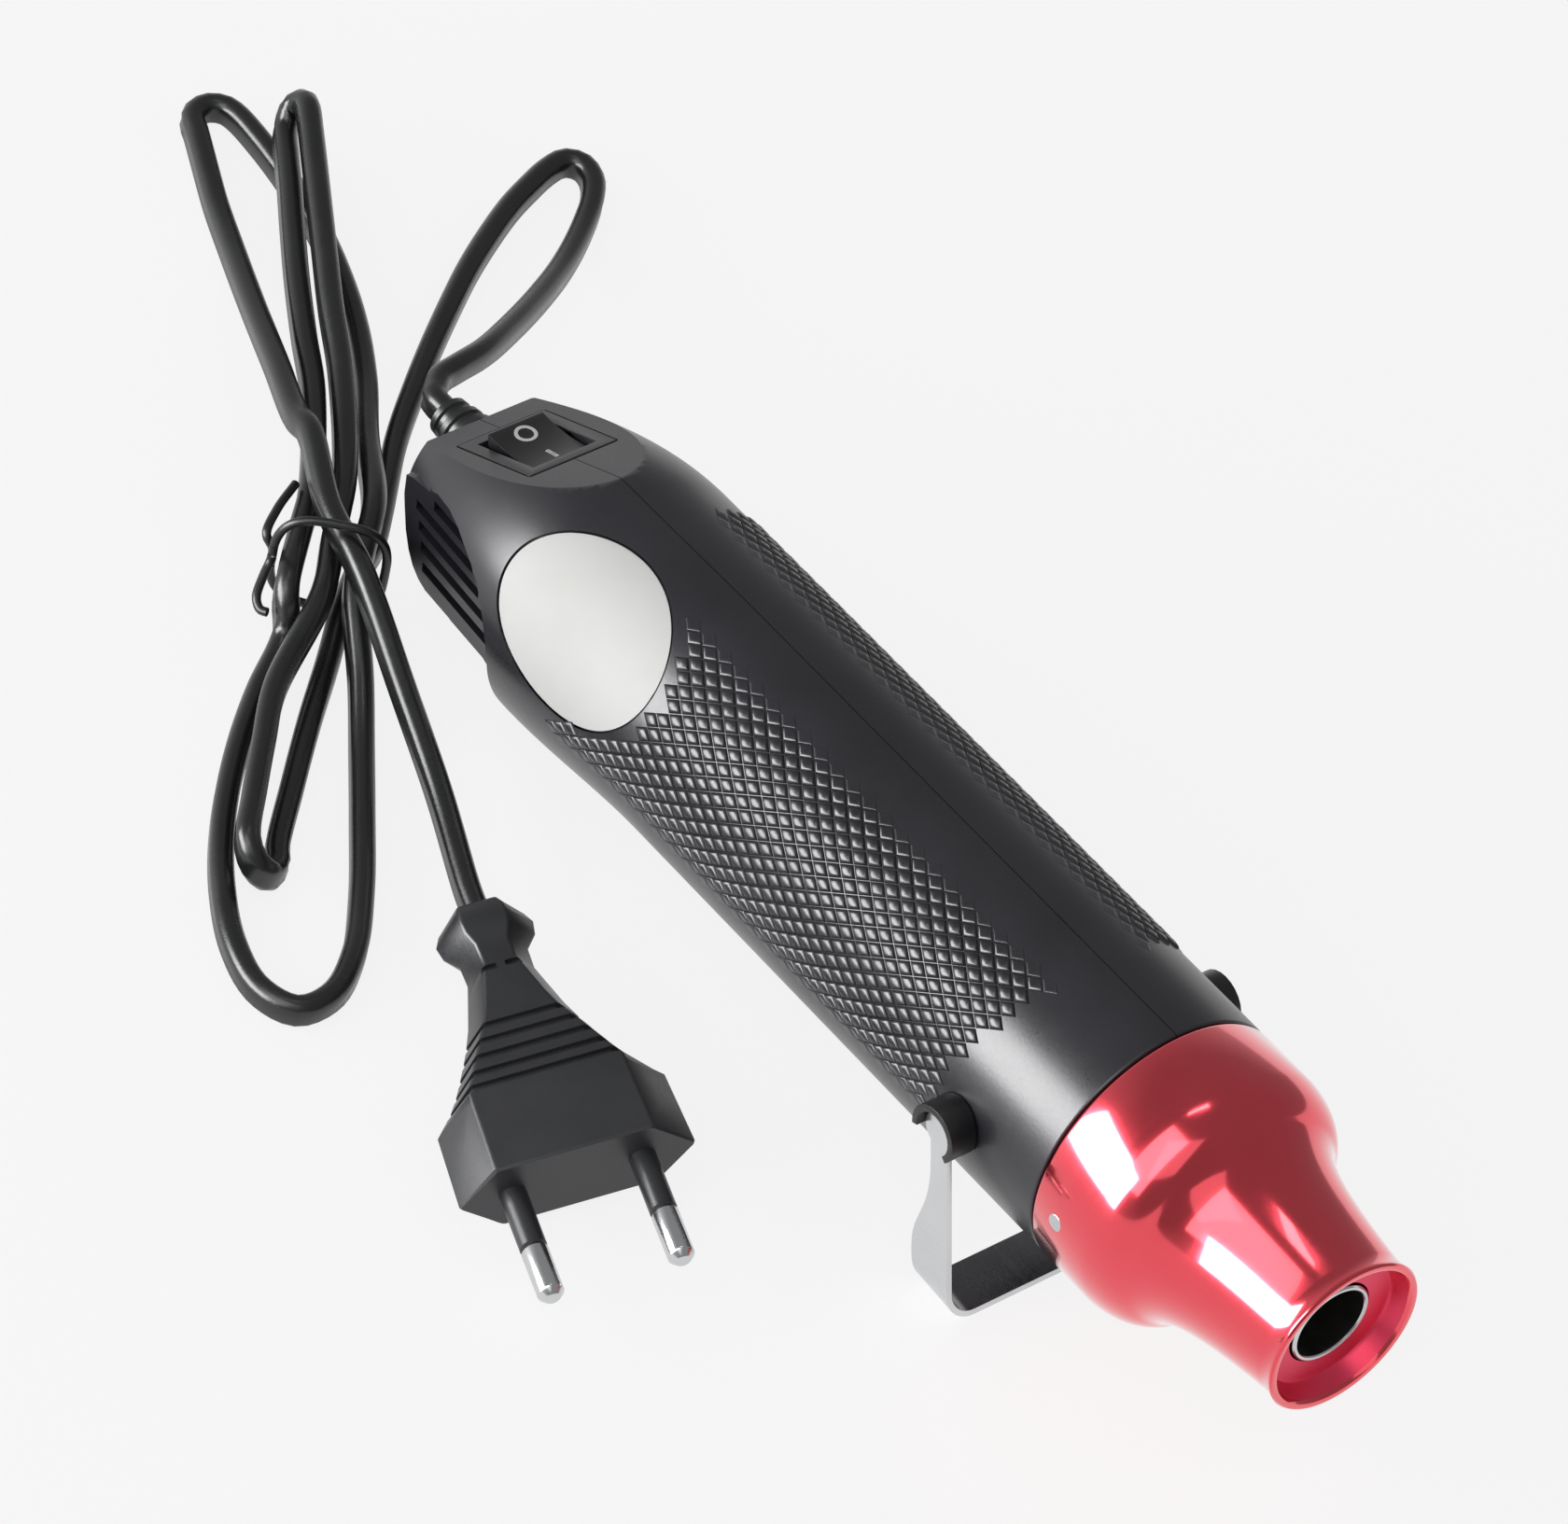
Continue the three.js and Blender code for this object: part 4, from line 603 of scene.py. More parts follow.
def fillet(
    points: Profile, corner: int, radius: float, steps: int = 4
) -> list[tuple[float, float]]:
    """Rounds one corner of a profile.

    Args:
        points: The profile.
        corner: Index of the corner.
        radius: How far from the corner the rounding starts.
        steps: Points along it.

    Returns:
        The profile with that corner rounded.
    """
    here = Vector(points[corner])
    back = here + (Vector(points[corner - 1]) - here).normalized() * radius
    on = here + (Vector(points[corner + 1]) - here).normalized() * radius
    curve = []
    for i in range(steps + 1):
        t = i / steps
        spot = back * (1 - t) ** 2 + here * 2 * t * (1 - t) + on * t**2
        curve.append((spot.x, spot.y))
    return [*points[:corner], *curve, *points[corner + 1 :]]


def smoothstep(value: float, low: float, high: float) -> float:
    """Rises smoothly from 0 at low to 1 at high."""
    t = min(max((value - low) / (high - low), 0.0), 1.0)
    return t * t * (3 - 2 * t)


@dataclass
class Studio:
    """Camera, table and soft lights. The angles put the camera where the photograph's was."""

    azimuth: float = 41.493
    elevation: float = 47.426
    roll: float = 15.251
    focal_pixels: float = 11252.1
    distance: float = 1.5
    aim: tuple[float, float, float] = (0.0, 0.0, 0.015)
    aim_pixel: tuple[float, float] = (942.0, 1007.4)
    frame_pixels: tuple[int, int] = (1680, 1633)
    sensor: float = 36.0
    room_light: float = 0.3
    dark_side: tuple[float, float, float] = (0.55, 0.25, 0.8)

    def build(self) -> None:
        """Makes the camera, the table, the lamps and the world."""
        bpy.context.scene.view_settings.view_transform = "Standard"
        self.camera()
        self.table()
        self.lamps()
        self.world()

    def camera(self) -> None:
        """Places the camera and turns it so that the frame's centre is its axis."""
        a, e, r = (math.radians(x) for x in (self.azimuth, self.elevation, self.roll))
        back = Vector((math.sin(a) * math.cos(e), -math.cos(a) * math.cos(e), math.sin(e)))
        level = Vector((math.cos(a), math.sin(a), 0))
        upright = back.cross(level)
        right = level * math.cos(r) + upright * math.sin(r)
        up = upright * math.cos(r) - level * math.sin(r)
        wide, high = self.frame_pixels
        across = (wide / 2 - self.aim_pixel[0]) / self.focal_pixels
        rise = (self.aim_pixel[1] - high / 2) / self.focal_pixels
        axis = (back - right * across - up * rise).normalized()
        side = (right - axis * right.dot(axis)).normalized()
        turn = Matrix((side, axis.cross(side), axis)).transposed()
        data = bpy.data.cameras.new("camera")
        data.sensor_width = self.sensor
        data.lens = self.focal_pixels / wide * self.sensor
        data.clip_start, data.clip_end = 0.1, 60
        camera = bpy.data.objects.new("camera", data)
        bpy.context.scene.collection.objects.link(camera)
        place = Matrix.Translation(Vector(self.aim) + back * self.distance)
        camera.matrix_world = place @ turn.to_4x4()
        bpy.context.scene.camera = camera

    def table(self) -> None:
        """Lays a pale table top that stays near white in the picture and takes a soft shadow."""
        activate_nothing()
        bpy.ops.mesh.primitive_plane_add(size=12)
        table = bpy.context.object
        table.name = "table"
        made = bpy.data.materials.new("white table laminate")
        made.use_nodes = True
        tree = made.node_tree
        tree.nodes.clear()
        rays = add_node(tree, "ShaderNodeLightPath")
        seen = add_node(
            tree,
            "ShaderNodeMath",
            {"operation": "MAXIMUM"},
            {0: rays.outputs["Is Camera Ray"], 1: rays.outputs["Is Glossy Ray"]},
        )
        share = add_node(
            tree, "ShaderNodeMath", {"operation": "MULTIPLY"}, {0: seen.outputs["Value"], 1: 0.85}
        )
        matt = add_node(tree, "ShaderNodeBsdfDiffuse", inputs={"Color": linear("#f4f4f4")})
        glow = add_node(
            tree, "ShaderNodeEmission", inputs={"Color": linear("#ffffff"), "Strength": 1.0}
        )
        mixed = add_node(
            tree,
            "ShaderNodeMixShader",
            inputs={
                0: share.outputs["Value"], 1: matt.outputs["BSDF"], 2: glow.outputs["Emission"]
            },
        )
        add_node(tree, "ShaderNodeOutputMaterial", inputs={"Surface": mixed.outputs["Shader"]})
        table.data.materials.append(made)

    def lamps(self) -> None:
        """Hangs soft boxes on the left and behind the camera, and three that show only as gloss."""
        for name, place, size, power, lights_all in (
            ("left_soft_box", (-0.55, -1.15, 0.36), (1.3, 0.7), 9.0, True),
            ("left_window", (-0.6, -1.25, 0.42), (1.4, 0.84), 44.0, False),
            ("side_box", (0.02, -0.9, 0.95), (0.8, 1.3), 8.0, False),
            ("zenith_strip", (-0.21, 0.06, 1.1), (0.3, 0.08), 0.4, False),
            ("overhead_box", (0.66, -0.95, 1.52), (1.4, 1.2), 4.0, True),
        ):
            data = bpy.data.lights.new(name, "AREA")
            data.shape = "RECTANGLE"
            data.size, data.size_y = size
            data.energy = power
            lamp = bpy.data.objects.new(name, data)
            bpy.context.scene.collection.objects.link(lamp)
            lamp.location = place
            lamp.rotation_euler = (
                (Vector(place) - Vector((0, 0, 0.03))).to_track_quat("Z", "Y").to_euler()
            )
            lamp.visible_diffuse = lights_all

    def world(self) -> None:
        """Surrounds the scene with white, which is darker overhead and in front for gloss."""
        world = bpy.data.worlds.new("white room")
        bpy.context.scene.world = world
        world.use_nodes = True
        tree = world.node_tree
        tree.nodes.clear()
        rays = add_node(tree, "ShaderNodeLightPath")
        heading = add_node(tree, "ShaderNodeTexCoord").outputs["Generated"]
        towards = add_node(
            tree, "ShaderNodeVectorMath", {"operation": "DOT_PRODUCT"},
            {0: heading, 1: self.dark_side},
        )
        shade = add_node(
            tree,
            "ShaderNodeMapRange",
            inputs={
                "Value": towards.outputs["Value"],
                "From Min": -0.6,
                "From Max": 0.4,
                "To Min": 0.8,
                "To Max": 0.16,
            },
        )
        gloss = add_node(
            tree,
            "ShaderNodeMath",
            {"operation": "MULTIPLY"},
            {0: rays.outputs["Is Glossy Ray"], 1: shade.outputs["Result"]},
        )
        level = gloss.outputs["Value"]
        for seen in (
            rays.outputs["Is Camera Ray"], rays.outputs["Is Transmission Ray"], self.room_light
        ):
            level = add_node(
                tree, "ShaderNodeMath", {"operation": "MAXIMUM"}, {0: level, 1: seen}
            ).outputs["Value"]
        sky = add_node(
            tree,
            "ShaderNodeBackground",
            inputs={"Color": linear("#ffffff"), "Strength": level},
        )
        add_node(tree, "ShaderNodeOutputWorld", inputs={"Surface": sky.outputs["Background"]})


@dataclass
class ToolFrame:
    """The barrel's own frame of reference, found from the motor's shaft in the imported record."""

    motor_station: float = 97.0
    matrix: Matrix = field(default_factory=Matrix)

    def read(self, joints: Sequence[dict]) -> ToolFrame:
        """Finds the frame from the motor's joint.

        Args:
            joints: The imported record's joints.

        Returns:
            This frame, with its matrix from millimetres to metres.
        """
        shaft = next(j for j in joints if j["name"] == "motor_spin")
        axis = Vector(shaft["axis"]).normalized()
        across = Vector((0, 1, 0))
        rise = axis.cross(across)
        turn = Matrix((axis, across, rise)).transposed().to_4x4()
        origin = Vector(shaft["pos_m"]) - axis * self.motor_station * MM
        self.matrix = Matrix.Translation(origin) @ turn @ Matrix.Scale(MM, 4)
        return self

    def settle(self, obj: bpy.types.Object) -> bpy.types.Object:
        """Moves a mesh drawn in the tool's millimetres to its place in metres."""
        obj.data.transform(self.matrix)
        return obj


# Route of the lead's centre in millimetres: out of the strain relief, round the first loop, five
# times through the tie and on to the plug
LEAD_ROUTE = (
    (-109.94, 0, 21.87), (-112.43, 0, 21.7), (-113.4, 0.9, 21.3), (-116.2, 3.9, 20.7),
    (-117.5, 8, 19.9), (-119.7, 14.8, 18), (-125, 24.9, 14), (-131.4, 35.6, 9.5), (-138, 45.6, 5.6),
    (-144.2, 53.9, 3.4), (-149.6, 60.1, 2.6), (-153.1, 62.6, 2.55), (-156.3, 62.9, 2.55),
    (-158.2, 61, 2.55), (-157.8, 57.3, 2.55), (-156.2, 52.8, 2.55), (-154, 47.6, 2.55),
    (-150.4, 41, 2.55), (-146, 33.9, 2.55), (-140.7, 26.5, 2.55), (-134.8, 18.7, 2.55),
    (-128.4, 10.8, 2.6), (-121.5, 2.9, 2.8), (-104.38, -13.82, 4.4), (-101.63, -18.2, 4.4),
    (-95.96, -25.32, 4.4), (-89.5, -32.2, 2.7), (-81.4, -41.1, 2.55), (-72.1, -50.7, 2.55),
    (-63.2, -59.6, 2.55), (-61.1, -61, 2.1), (-59.8, -63.1, 2.8), (-59.7, -65, 4.6),
    (-60.9, -66.1, 6.6), (-63, -65.8, 8.2), (-70.2, -59.6, 8.2), (-77, -53.4, 8.2),
    (-85.2, -45.6, 8.6), (-96.02, -29.78, 10.1), (-104.8, -21.6, 10.1), (-113.58, -13.42, 10.1),
    (-131.3, -1.7, 10.7), (-142.5, 4.2, 11.6), (-153.3, 10.3, 12.5), (-163.3, 16, 13.2),
    (-173, 21.6, 13.5), (-177.2, 24, 13.4), (-178.9, 24.7, 12.9), (-180.2, 24.7, 11.5),
    (-180.7, 24, 9.9), (-180.1, 22.8, 8.5), (-178.7, 21.6, 8), (-174.5, 19, 8.1),
    (-168.9, 15.6, 8.3), (-162.2, 11.4, 8.3), (-152.2, 5.3, 8.2), (-141.7, -0.7, 8.2),
    (-131.6, -6.3, 8.6), (-113.79, -19.51, 10.1), (-108.17, -25.22, 10.1), (-99.63, -33.65, 10.1),
    (-96.2, -35.5, 4.4), (-89.5, -44.8, 2.55), (-80.5, -55, 2.55), (-70.9, -63.8, 2.55),
    (-61.4, -70.5, 2.55), (-51.2, -75.5, 2.55), (-42.6, -77, 2.55), (-37, -74.3, 2.55),
    (-36.8, -68.4, 2.55), (-41.5, -61.3, 2.55), (-50.4, -53.6, 2.55), (-62.1, -45.2, 2.55),
    (-73.7, -37.2, 3), (-82.5, -31.6, 5.6), (-94.35, -25.06, 10.1), (-101.54, -18.1, 10.1),
    (-107.26, -12.51, 10.1), (-121.6, -3.1, 6.4), (-133.2, 5.3, 3.6), (-144.2, 11.5, 2.6),
    (-155.2, 15.8, 2.55), (-165.7, 18.7, 2.55), (-175.2, 20.2, 2.55), (-183.4, 20.9, 2.55),
    (-189.4, 20.9, 2.55), (-191.6, 20.3, 2.55), (-193.1, 18.5, 2.55), (-193.2, 16.2, 2.55),
    (-191.9, 14.3, 2.55), (-189.8, 13.5, 2.55), (-176.2, 7.6, 2.55), (-164.8, 2.9, 3.8),
    (-151.8, -2.9, 6.8), (-137.3, -9.4, 10.8), (-124.2, -15.2, 14.2), (-120.23, -16.15, 15.8),
    (-105.77, -22.64, 15.8), (-95.71, -25.05, 15.8), (-89.1, -26.7, 14.8), (-74.5, -31.1, 12.2),
    (-56.4, -36.9, 9.9), (-39.55, -43.6, 8.98), (-34.81, -45.2, 8.98),
)

# Ends of the wire tie: the curl on its left and the free end that points back along the hank
TIE_CURL = ((-99.1, -37, 7.2), (-100.2, -37.5, 7), (-102, -37, 7.6), (-104.2, -34.4, 9))
TIE_END = ((-108.2, -31.7, 12.6), (-111.5, -27.5, 12.8), (-114.7, -21.9, 12.4))


def through(points: Sequence[Sequence[float]], spacing: float) -> np.ndarray:
    """Draws a centripetal Catmull-Rom curve through points and samples it evenly.

    Args:
        points: The points it passes through.
        spacing: Distance between samples.

    Returns:
        The samples, one row each.
    """
    knots = np.array(points, float)
    knots = np.vstack([2 * knots[0] - knots[1], knots, 2 * knots[-1] - knots[-2]])
    fine = []
    for p0, p1, p2, p3 in zip(knots, knots[1:], knots[2:], knots[3:]):
        d0, d1, d2 = (math.sqrt(np.linalg.norm(b - a)) for a, b in ((p0, p1), (p1, p2), (p2, p3)))
        m1 = ((p1 - p0) / d0 - (p2 - p0) / (d0 + d1) + (p2 - p1) / d1) * d1
        m2 = ((p2 - p1) / d1 - (p3 - p1) / (d1 + d2) + (p3 - p2) / d2) * d1
        t = np.linspace(0, 1, 40, endpoint=False)[:, None]
        fine.append(
            (2 * t**3 - 3 * t**2 + 1) * p1 + (t**3 - 2 * t**2 + t) * m1
            + (3 * t**2 - 2 * t**3) * p2 + (t**3 - t**2) * m2
        )
    line = np.vstack([*fine, knots[-2:-1]])
    run = np.concatenate([[0], np.cumsum(np.linalg.norm(np.diff(line, axis=0), axis=1))])
    spots = np.linspace(0, run[-1], round(run[-1] / spacing) + 1)
    return np.stack([np.interp(spots, run, line[:, k]) for k in range(3)], axis=1)


def tube(name: str, line: np.ndarray, section: Profile) -> bpy.types.Object:
    """Sweeps a section along a line with its height kept upright.

    Args:
        name: The new object's name.
        line: Points of the centre line, in metres.
        section: Corners of the section, across and up, in metres.

    Returns:
        The swept mesh, closed at its ends.
    """
    shape = bpy.data.curves.new(name + "_section", "CURVE")
    shape.dimensions = "2D"
    ring = shape.splines.new("POLY")
    ring.points.add(len(section) - 1)
    for spot, (across, up) in zip(ring.points, section):
        spot.co = (across, up, 0, 1)
    ring.use_cyclic_u = True
    template = bpy.data.objects.new(name + "_section", shape)
    bpy.context.scene.collection.objects.link(template)
    path = bpy.data.curves.new(name, "CURVE")
    path.dimensions = "3D"
    path.twist_mode = "Z_UP"
    path.bevel_mode = "OBJECT"
    path.bevel_object = template
    path.use_fill_caps = True
    spline = path.splines.new("POLY")
    spline.points.add(len(line) - 1)
    for spot, point in zip(spline.points, line):
        spot.co = (*point, 1)
    obj = bpy.data.objects.new(name, path)
    bpy.context.scene.collection.objects.link(obj)
    activate(obj)
    bpy.ops.object.convert(target="MESH")
    obj = bpy.context.object
    bpy.data.objects.remove(template)
    with editing(obj):
        bpy.ops.mesh.select_all(action="SELECT")
        bpy.ops.mesh.remove_doubles(threshold=1e-6)
        bpy.ops.mesh.normals_make_consistent(inside=False)
    return obj


@dataclass
class MainsLead:
    """The flat twin lead, which lies on edge in a tied hank, with its strain relief and tie."""

    width: float = 5.0
    thickness: float = 3.8
    groove: float = 0.25
    rest: float = 2.55
    spacing: float = 1.4
    tuck: float = 3.0

    def centre(self) -> np.ndarray:
        """Samples the centre line in metres, never lower than the table lets it lie."""
        line = through(LEAD_ROUTE, self.spacing)
        line[:, 2] = np.maximum(line[:, 2], self.rest)
        return line * MM

    def section(self) -> list[tuple[float, float]]:
        """Draws the lead's section: two round cores with a shallow groove between them."""
        half = self.thickness / 2
        straight = self.width / 2 - half
        points = []
        for i in range(18):
            angle = 2 * math.pi * i / 18
            side, up = math.cos(angle), math.sin(angle)
            lobe = math.copysign(straight, up) if abs(up) > 0.01 else 0.0
            points.append((
                (half * side if lobe else side * (half - self.groove)) * MM,
                (half * up + lobe) * MM,
            ))
        return points

    def build(self) -> bpy.types.Object:
        """Makes the lead.

        Returns:
            The lead.
        """
        line = self.centre()
        ends = [
            line[0] + (line[0] - line[1]) * self.tuck,
            line[-1] + (line[-1] - line[-2]) * self.tuck,
        ]
        obj = tube("mains_lead", np.vstack([ends[0], line, ends[1]]), self.section())
        smooth(obj, 50)
        return dress(obj, BLACK_PVC, nodes=("cord_lead", "cord_hank", "cord_tail"))

    def declare(self, lead: bpy.types.Object, pieces: Sequence[bpy.types.Object]) -> None:
        """Samples the lead's centre line and does nothing more with it.

        Args:
            lead: The lead; not used.
            pieces: The plug, its pins, the tie and the strain relief; not used.
        """
        line = self.centre()


@dataclass
class TwistTie:
    """A wire tie in a black sleeve, once round the hank's waist, with a curled and a free end."""

    waist: tuple[float, float] = (-104.8, -21.6)
    heading: float = -43.0
    station: float = 6.0
    half_width: float = 8.4
    squareness: float = 3.2
    low: float = 0.8
    high: float = 19.8
    radius: float = 0.7
    pitch: float = 2.4
    curl: Profile3 = TIE_CURL
    end: Profile3 = TIE_END

    def turn(self) -> Iterator[np.ndarray]:
        """Draws the flattened turn round the waist, from its left side over the top and back."""
        angle = math.radians(self.heading)
        along = np.array((math.cos(angle), math.sin(angle), 0))
        side = np.array((-math.sin(angle), math.cos(angle), 0))
        middle, reach = (self.low + self.high) / 2, (self.high - self.low) / 2
        for i in range(29):
            sweep = math.pi - 2 * math.pi * i / 28
            across, rise = (
                math.copysign(abs(v) ** (2 / self.squareness), v)
                for v in (math.cos(sweep), math.sin(sweep))
            )
            run = self.station + self.pitch * (0.5 - i / 28)
            spot = np.array((*self.waist, middle + reach * rise))
            yield spot + side * self.half_width * across + along * run

    def build(self) -> bpy.types.Object:
        """Makes the tie."""
        line = through([*self.curl, *self.turn(), *self.end], 0.5) * MM
        ring = [2 * math.pi * i / 10 for i in range(10)]
        section = [(self.radius * math.cos(t) * MM, self.radius * math.sin(t) * MM) for t in ring]
        obj = tube("wire_tie", line, section)
        smooth(obj, 50)
        return dress(obj, BLACK_NYLON, nodes=("twist_tie",))


@dataclass
class StrainRelief:
    """The short ribbed sleeve that the lead leaves the casing through."""

    height: float = 1.5
    length: float = 8.1
    root: float = 4.4
    tip: float = 3.4
    ribs: int = 3
    depth: float = 0.9

    def build(self, frame: ToolFrame) -> bpy.types.Object:
        """Makes the sleeve.

        Args:
            frame: The tool's frame.

        Returns:
            The sleeve.
        """
        profile = [(4.5, 0.0), (4.5, 4.3), (2.5, 4.3), (2.5, 3.4), (-0.2, 3.4)]
        pitch = self.length / self.ribs
        for i in range(self.ribs):
            start = -0.3 - i * pitch
            radius = self.root + (self.tip - self.root) * i / (self.ribs - 1)
            crest = 0.56 * pitch
            profile += [
                (start, radius - 0.3), (start - 0.25, radius), (start - crest + 0.25, radius - 0.1),
                (start - crest, radius - 0.4),
            ]
            if i < self.ribs - 1:
                profile += [
                    (start - crest - 0.1, radius - self.depth),
                    (start - pitch + 0.1, radius - self.depth),
                ]
        profile += [(profile[-1][0], 0.0)]
        obj = revolve("lead_sleeve", profile, 40)
        obj.data.transform(Matrix.Translation((0, 0, self.height)))
        frame.settle(obj)
        smooth(obj, 40)
        return dress(obj, BLACK_PVC, nodes=("strain_relief",))


@dataclass
class Casing:
    """The two half shells of the barrel, with the switch panel, vents, label seat and grip."""

    length: float = 161.0
    radius: float = 21.5
    wall: float = 2.0
    rear_radius: float = 12.4
    tail_length: float = 36.0
    tail_swell: float = 0.7
    droop: float = 1.2
    blend: float = 30.0
    panel_height: float = 6.4
    panel_slope: float = math.radians(24.4)
    vent_reach: float = 13.5
    vent_taper: float = 0.12
    vent_wall: float = 1.8
    vent_front: float = 33.0
    ridge: Profile = (
        (-2.0, 3.4), (3.1, 4.5), (14.3, 7.4), (18.0, 7.6), (20.8, 7.3), (24.4, 6.7), (27.2, 5.7),
        (29.4, 4.3), (31.2, 2.3), (33.0, -0.6), (33.8, -4.3),
    )
    cheek_edge: Profile = (
        (1.2, 2.6), (1.3, -1.0), (1.8, -2.9), (3.0, -6.9), (4.4, -9.6), (6.0, -11.4), (8.0, -12.5),
        (10.1, -12.9), (26.0, -11.4), (27.0, 4.0), (14.3, 6.4), (3.1, 3.6),
    )
    heel: Profile = (
        (-2.0, -13.9), (8.0, -13.2), (27.0, -11.4), (30.5, -12.0), (33.0, -14.0), (33.8, -17.0),
    )
    heel_wall: float = 1.5
    cheek_span: tuple[float, float] = (8.0, 22.0)
    vent_span: tuple[float, float] = (1.0, 27.0)
    vent_end: float = 34.0
    slot_width: float = 1.7
    slot_tilt: float = math.radians(5)
    slot_rows: tuple[tuple[float, float, float], ...] = (
        (9.3, 18.5, 3.9), (4.8, 21.2, 0.6), (6.1, 23.6, -2.4), (7.3, 25.6, -5.4), (8.5, 27.2, -8.6),
    )
    screws: tuple[float, float] = (66.0, 128.0)
    screw_drop: float = 16.0
    screw_hole: float = 3.0
    screw_floor: float = 7.0
    socket_station: float = 144.0
    socket_hole: float = 3.5
    lead_hole: float = 3.7
    lead_height: float = 1.5
    slot_middle: float = 19.0
    slot_depth: float = 22.0
    slot_round: float = 0.45
    cutter_half: float = 44.0
    cutter_floor: float = -30.0
    cutter_roof: float = 90.0
    sliver: float = 0.002
    spigot_radius: float = 19.8
    spigot_length: float = 10.0
    spigot_root: float = 11.0
    spigot_wall: float = 1.7
    seam: float = 0.07
    steps: int = 144

    def blend_at(self, x: float) -> float:
        """Share of the way from the tail's girth to the barrel's."""
        return smoothstep(x, self.tail_length, self.tail_length + self.blend)

    def sag(self, x: float) -> float:
        """How far the axis lies below the barrel's axis at a station."""
        return -self.droop * (1 - self.blend_at(x))

    def girth(self, x: float) -> float:
        """Radius of the barrel at a station."""
        full = self.radius + self.tail_swell
        if x >= self.tail_length:
            return full + (self.radius - full) * self.blend_at(x)
        return self.rear_radius + (full - self.rear_radius) * math.sin(
            math.pi * x / (2 * self.tail_length)
        )

    def trim(
        self, obj: bpy.types.Object, tool: bpy.types.Object, how: Cut = Cut.TAKE_AWAY
    ) -> bpy.types.Object:
        """Carves a solid and welds what the cut leaves."""
        return weld(carve(obj, tool, how), self.sliver)

    def panel(self, x: float) -> float:
        """Height of the slanted switch panel at a station."""
        return self.panel_height + x * math.tan(self.panel_slope)

    def sink(self, obj: bpy.types.Object) -> bpy.types.Object:
        """Lowers the tail end of a turned form."""
        for vert in obj.data.vertices:
            vert.co.z += self.sag(vert.co.x)
        return obj

    def form(self, name: str, inset: float) -> bpy.types.Object:
        """Turns the barrel's outside.

        Args:
            name: The new object's name.
            inset: How far it is drawn in.

        Returns:
            The solid form.
        """
        stations = [*np.arange(1.2, self.tail_length, 1.2), *np.arange(self.tail_length, 67, 2.5)]
        skin = [(float(x), self.girth(float(x)) - inset) for x in stations]
        profile = [
            (0.0, 0.0), (0.0, self.rear_radius - inset), *skin,
            (self.length, self.radius - inset), (self.length, 0.0),
        ]
        profile = fillet(fillet(profile, len(profile) - 2, 0.5), 1, 0.5)
        return self.sink(revolve(name, profile, self.steps))

    def cavity(self) -> bpy.types.Object:
        """Turns the hollow inside the shells, with the switch panel's thickness left."""
        bore, mouth = self.radius - self.wall, self.spigot_radius - self.spigot_wall
        end = self.length + self.spigot_length + 1
        tail = []
        for x in (*np.arange(2.2, self.vent_front, 2.8), self.vent_front):
            flat = self.vent_reach + self.vent_taper * x - self.vent_wall
            tail.append((float(x), float(min(self.girth(x) - self.wall, flat))))
        profile = [
            (2.2, 0.0), *tail, (self.vent_front + 4, bore + 0.5),
            (self.tail_length + self.blend, bore), (self.length - self.wall, bore),
            (self.length, mouth), (end, mouth), (end, 0.0),
        ]
        hollow = self.sink(revolve("hollow", profile, 72))
        self.trim(hollow, self.below_heel(self.heel_wall))
        return self.trim(hollow, self.above_panel(self.wall))

    def above_panel(self, depth: float) -> bpy.types.Object:
        """Fills the space over the switch panel, lowered by a depth."""
        drop = depth / math.cos(self.panel_slope)
        near, far = -self.cutter_half, self.tail_length + self.blend
        slope = [(x, self.panel(x) - drop) for x in (near, far)]
        roof = [(x, self.cutter_roof) for x in (far, near)]
        return prism("over_panel", [*slope, *roof], -self.cutter_half, self.cutter_half)

    def below_heel(self, depth: float) -> bpy.types.Object:
        """Fills the space under the tail, up to the heel, raised by a depth."""
        first, last = ((self.heel[i][0], self.cutter_floor) for i in (0, -1))
        corners = [first, *((x, z + depth) for x, z in self.heel), last]
        return prism("under_heel", corners, -self.cutter_half, self.cutter_half)

    def flat_core(self, side: Side) -> bpy.types.Object:
        """Makes the block whose face is the flat vent panel on one side."""
        lean = math.atan(self.vent_taper)
        size = (8 * self.vent_front, 2 * self.vent_reach * math.cos(lean), 8 * self.vent_front)
        return box("vent_core", size, Matrix.Rotation(side.value * lean, 4, "Z"))

    def cheek(self, side: Side) -> bpy.types.Object:
        """Makes the solid that squares the tail's lower corner, which the vent then cuts flat."""
        near, far = sorted(side.value * y for y in self.cheek_span)
        return prism("cheek", self.cheek_edge, near, far)

    def vent(self, side: Side) -> bpy.types.Object:
        """Makes the space in front of the flat vent panel on one side."""
        near, far = sorted(side.value * y for y in self.vent_span)
        floor = [(x, self.cutter_floor) for x in (self.vent_end, self.ridge[0][0])]
        space = prism("vent_space", [*self.ridge, *floor], near, far)
        return self.trim(space, self.flat_core(side))

    def slots(self, side: Side) -> bpy.types.Object:
        """Makes the row of vent slots on one side."""
        made = []
        for rear, front, height in self.slot_rows:
            spot = Matrix.Translation(((rear + front) / 2, side.value * self.slot_middle, height))
            place = spot @ Matrix.Rotation(-self.slot_tilt, 4, "Y")
            size = (front - rear, self.slot_depth, self.slot_width)
            made.append(box("slot", size, place, self.slot_round))
        return merge_into(made[0], made[1:])

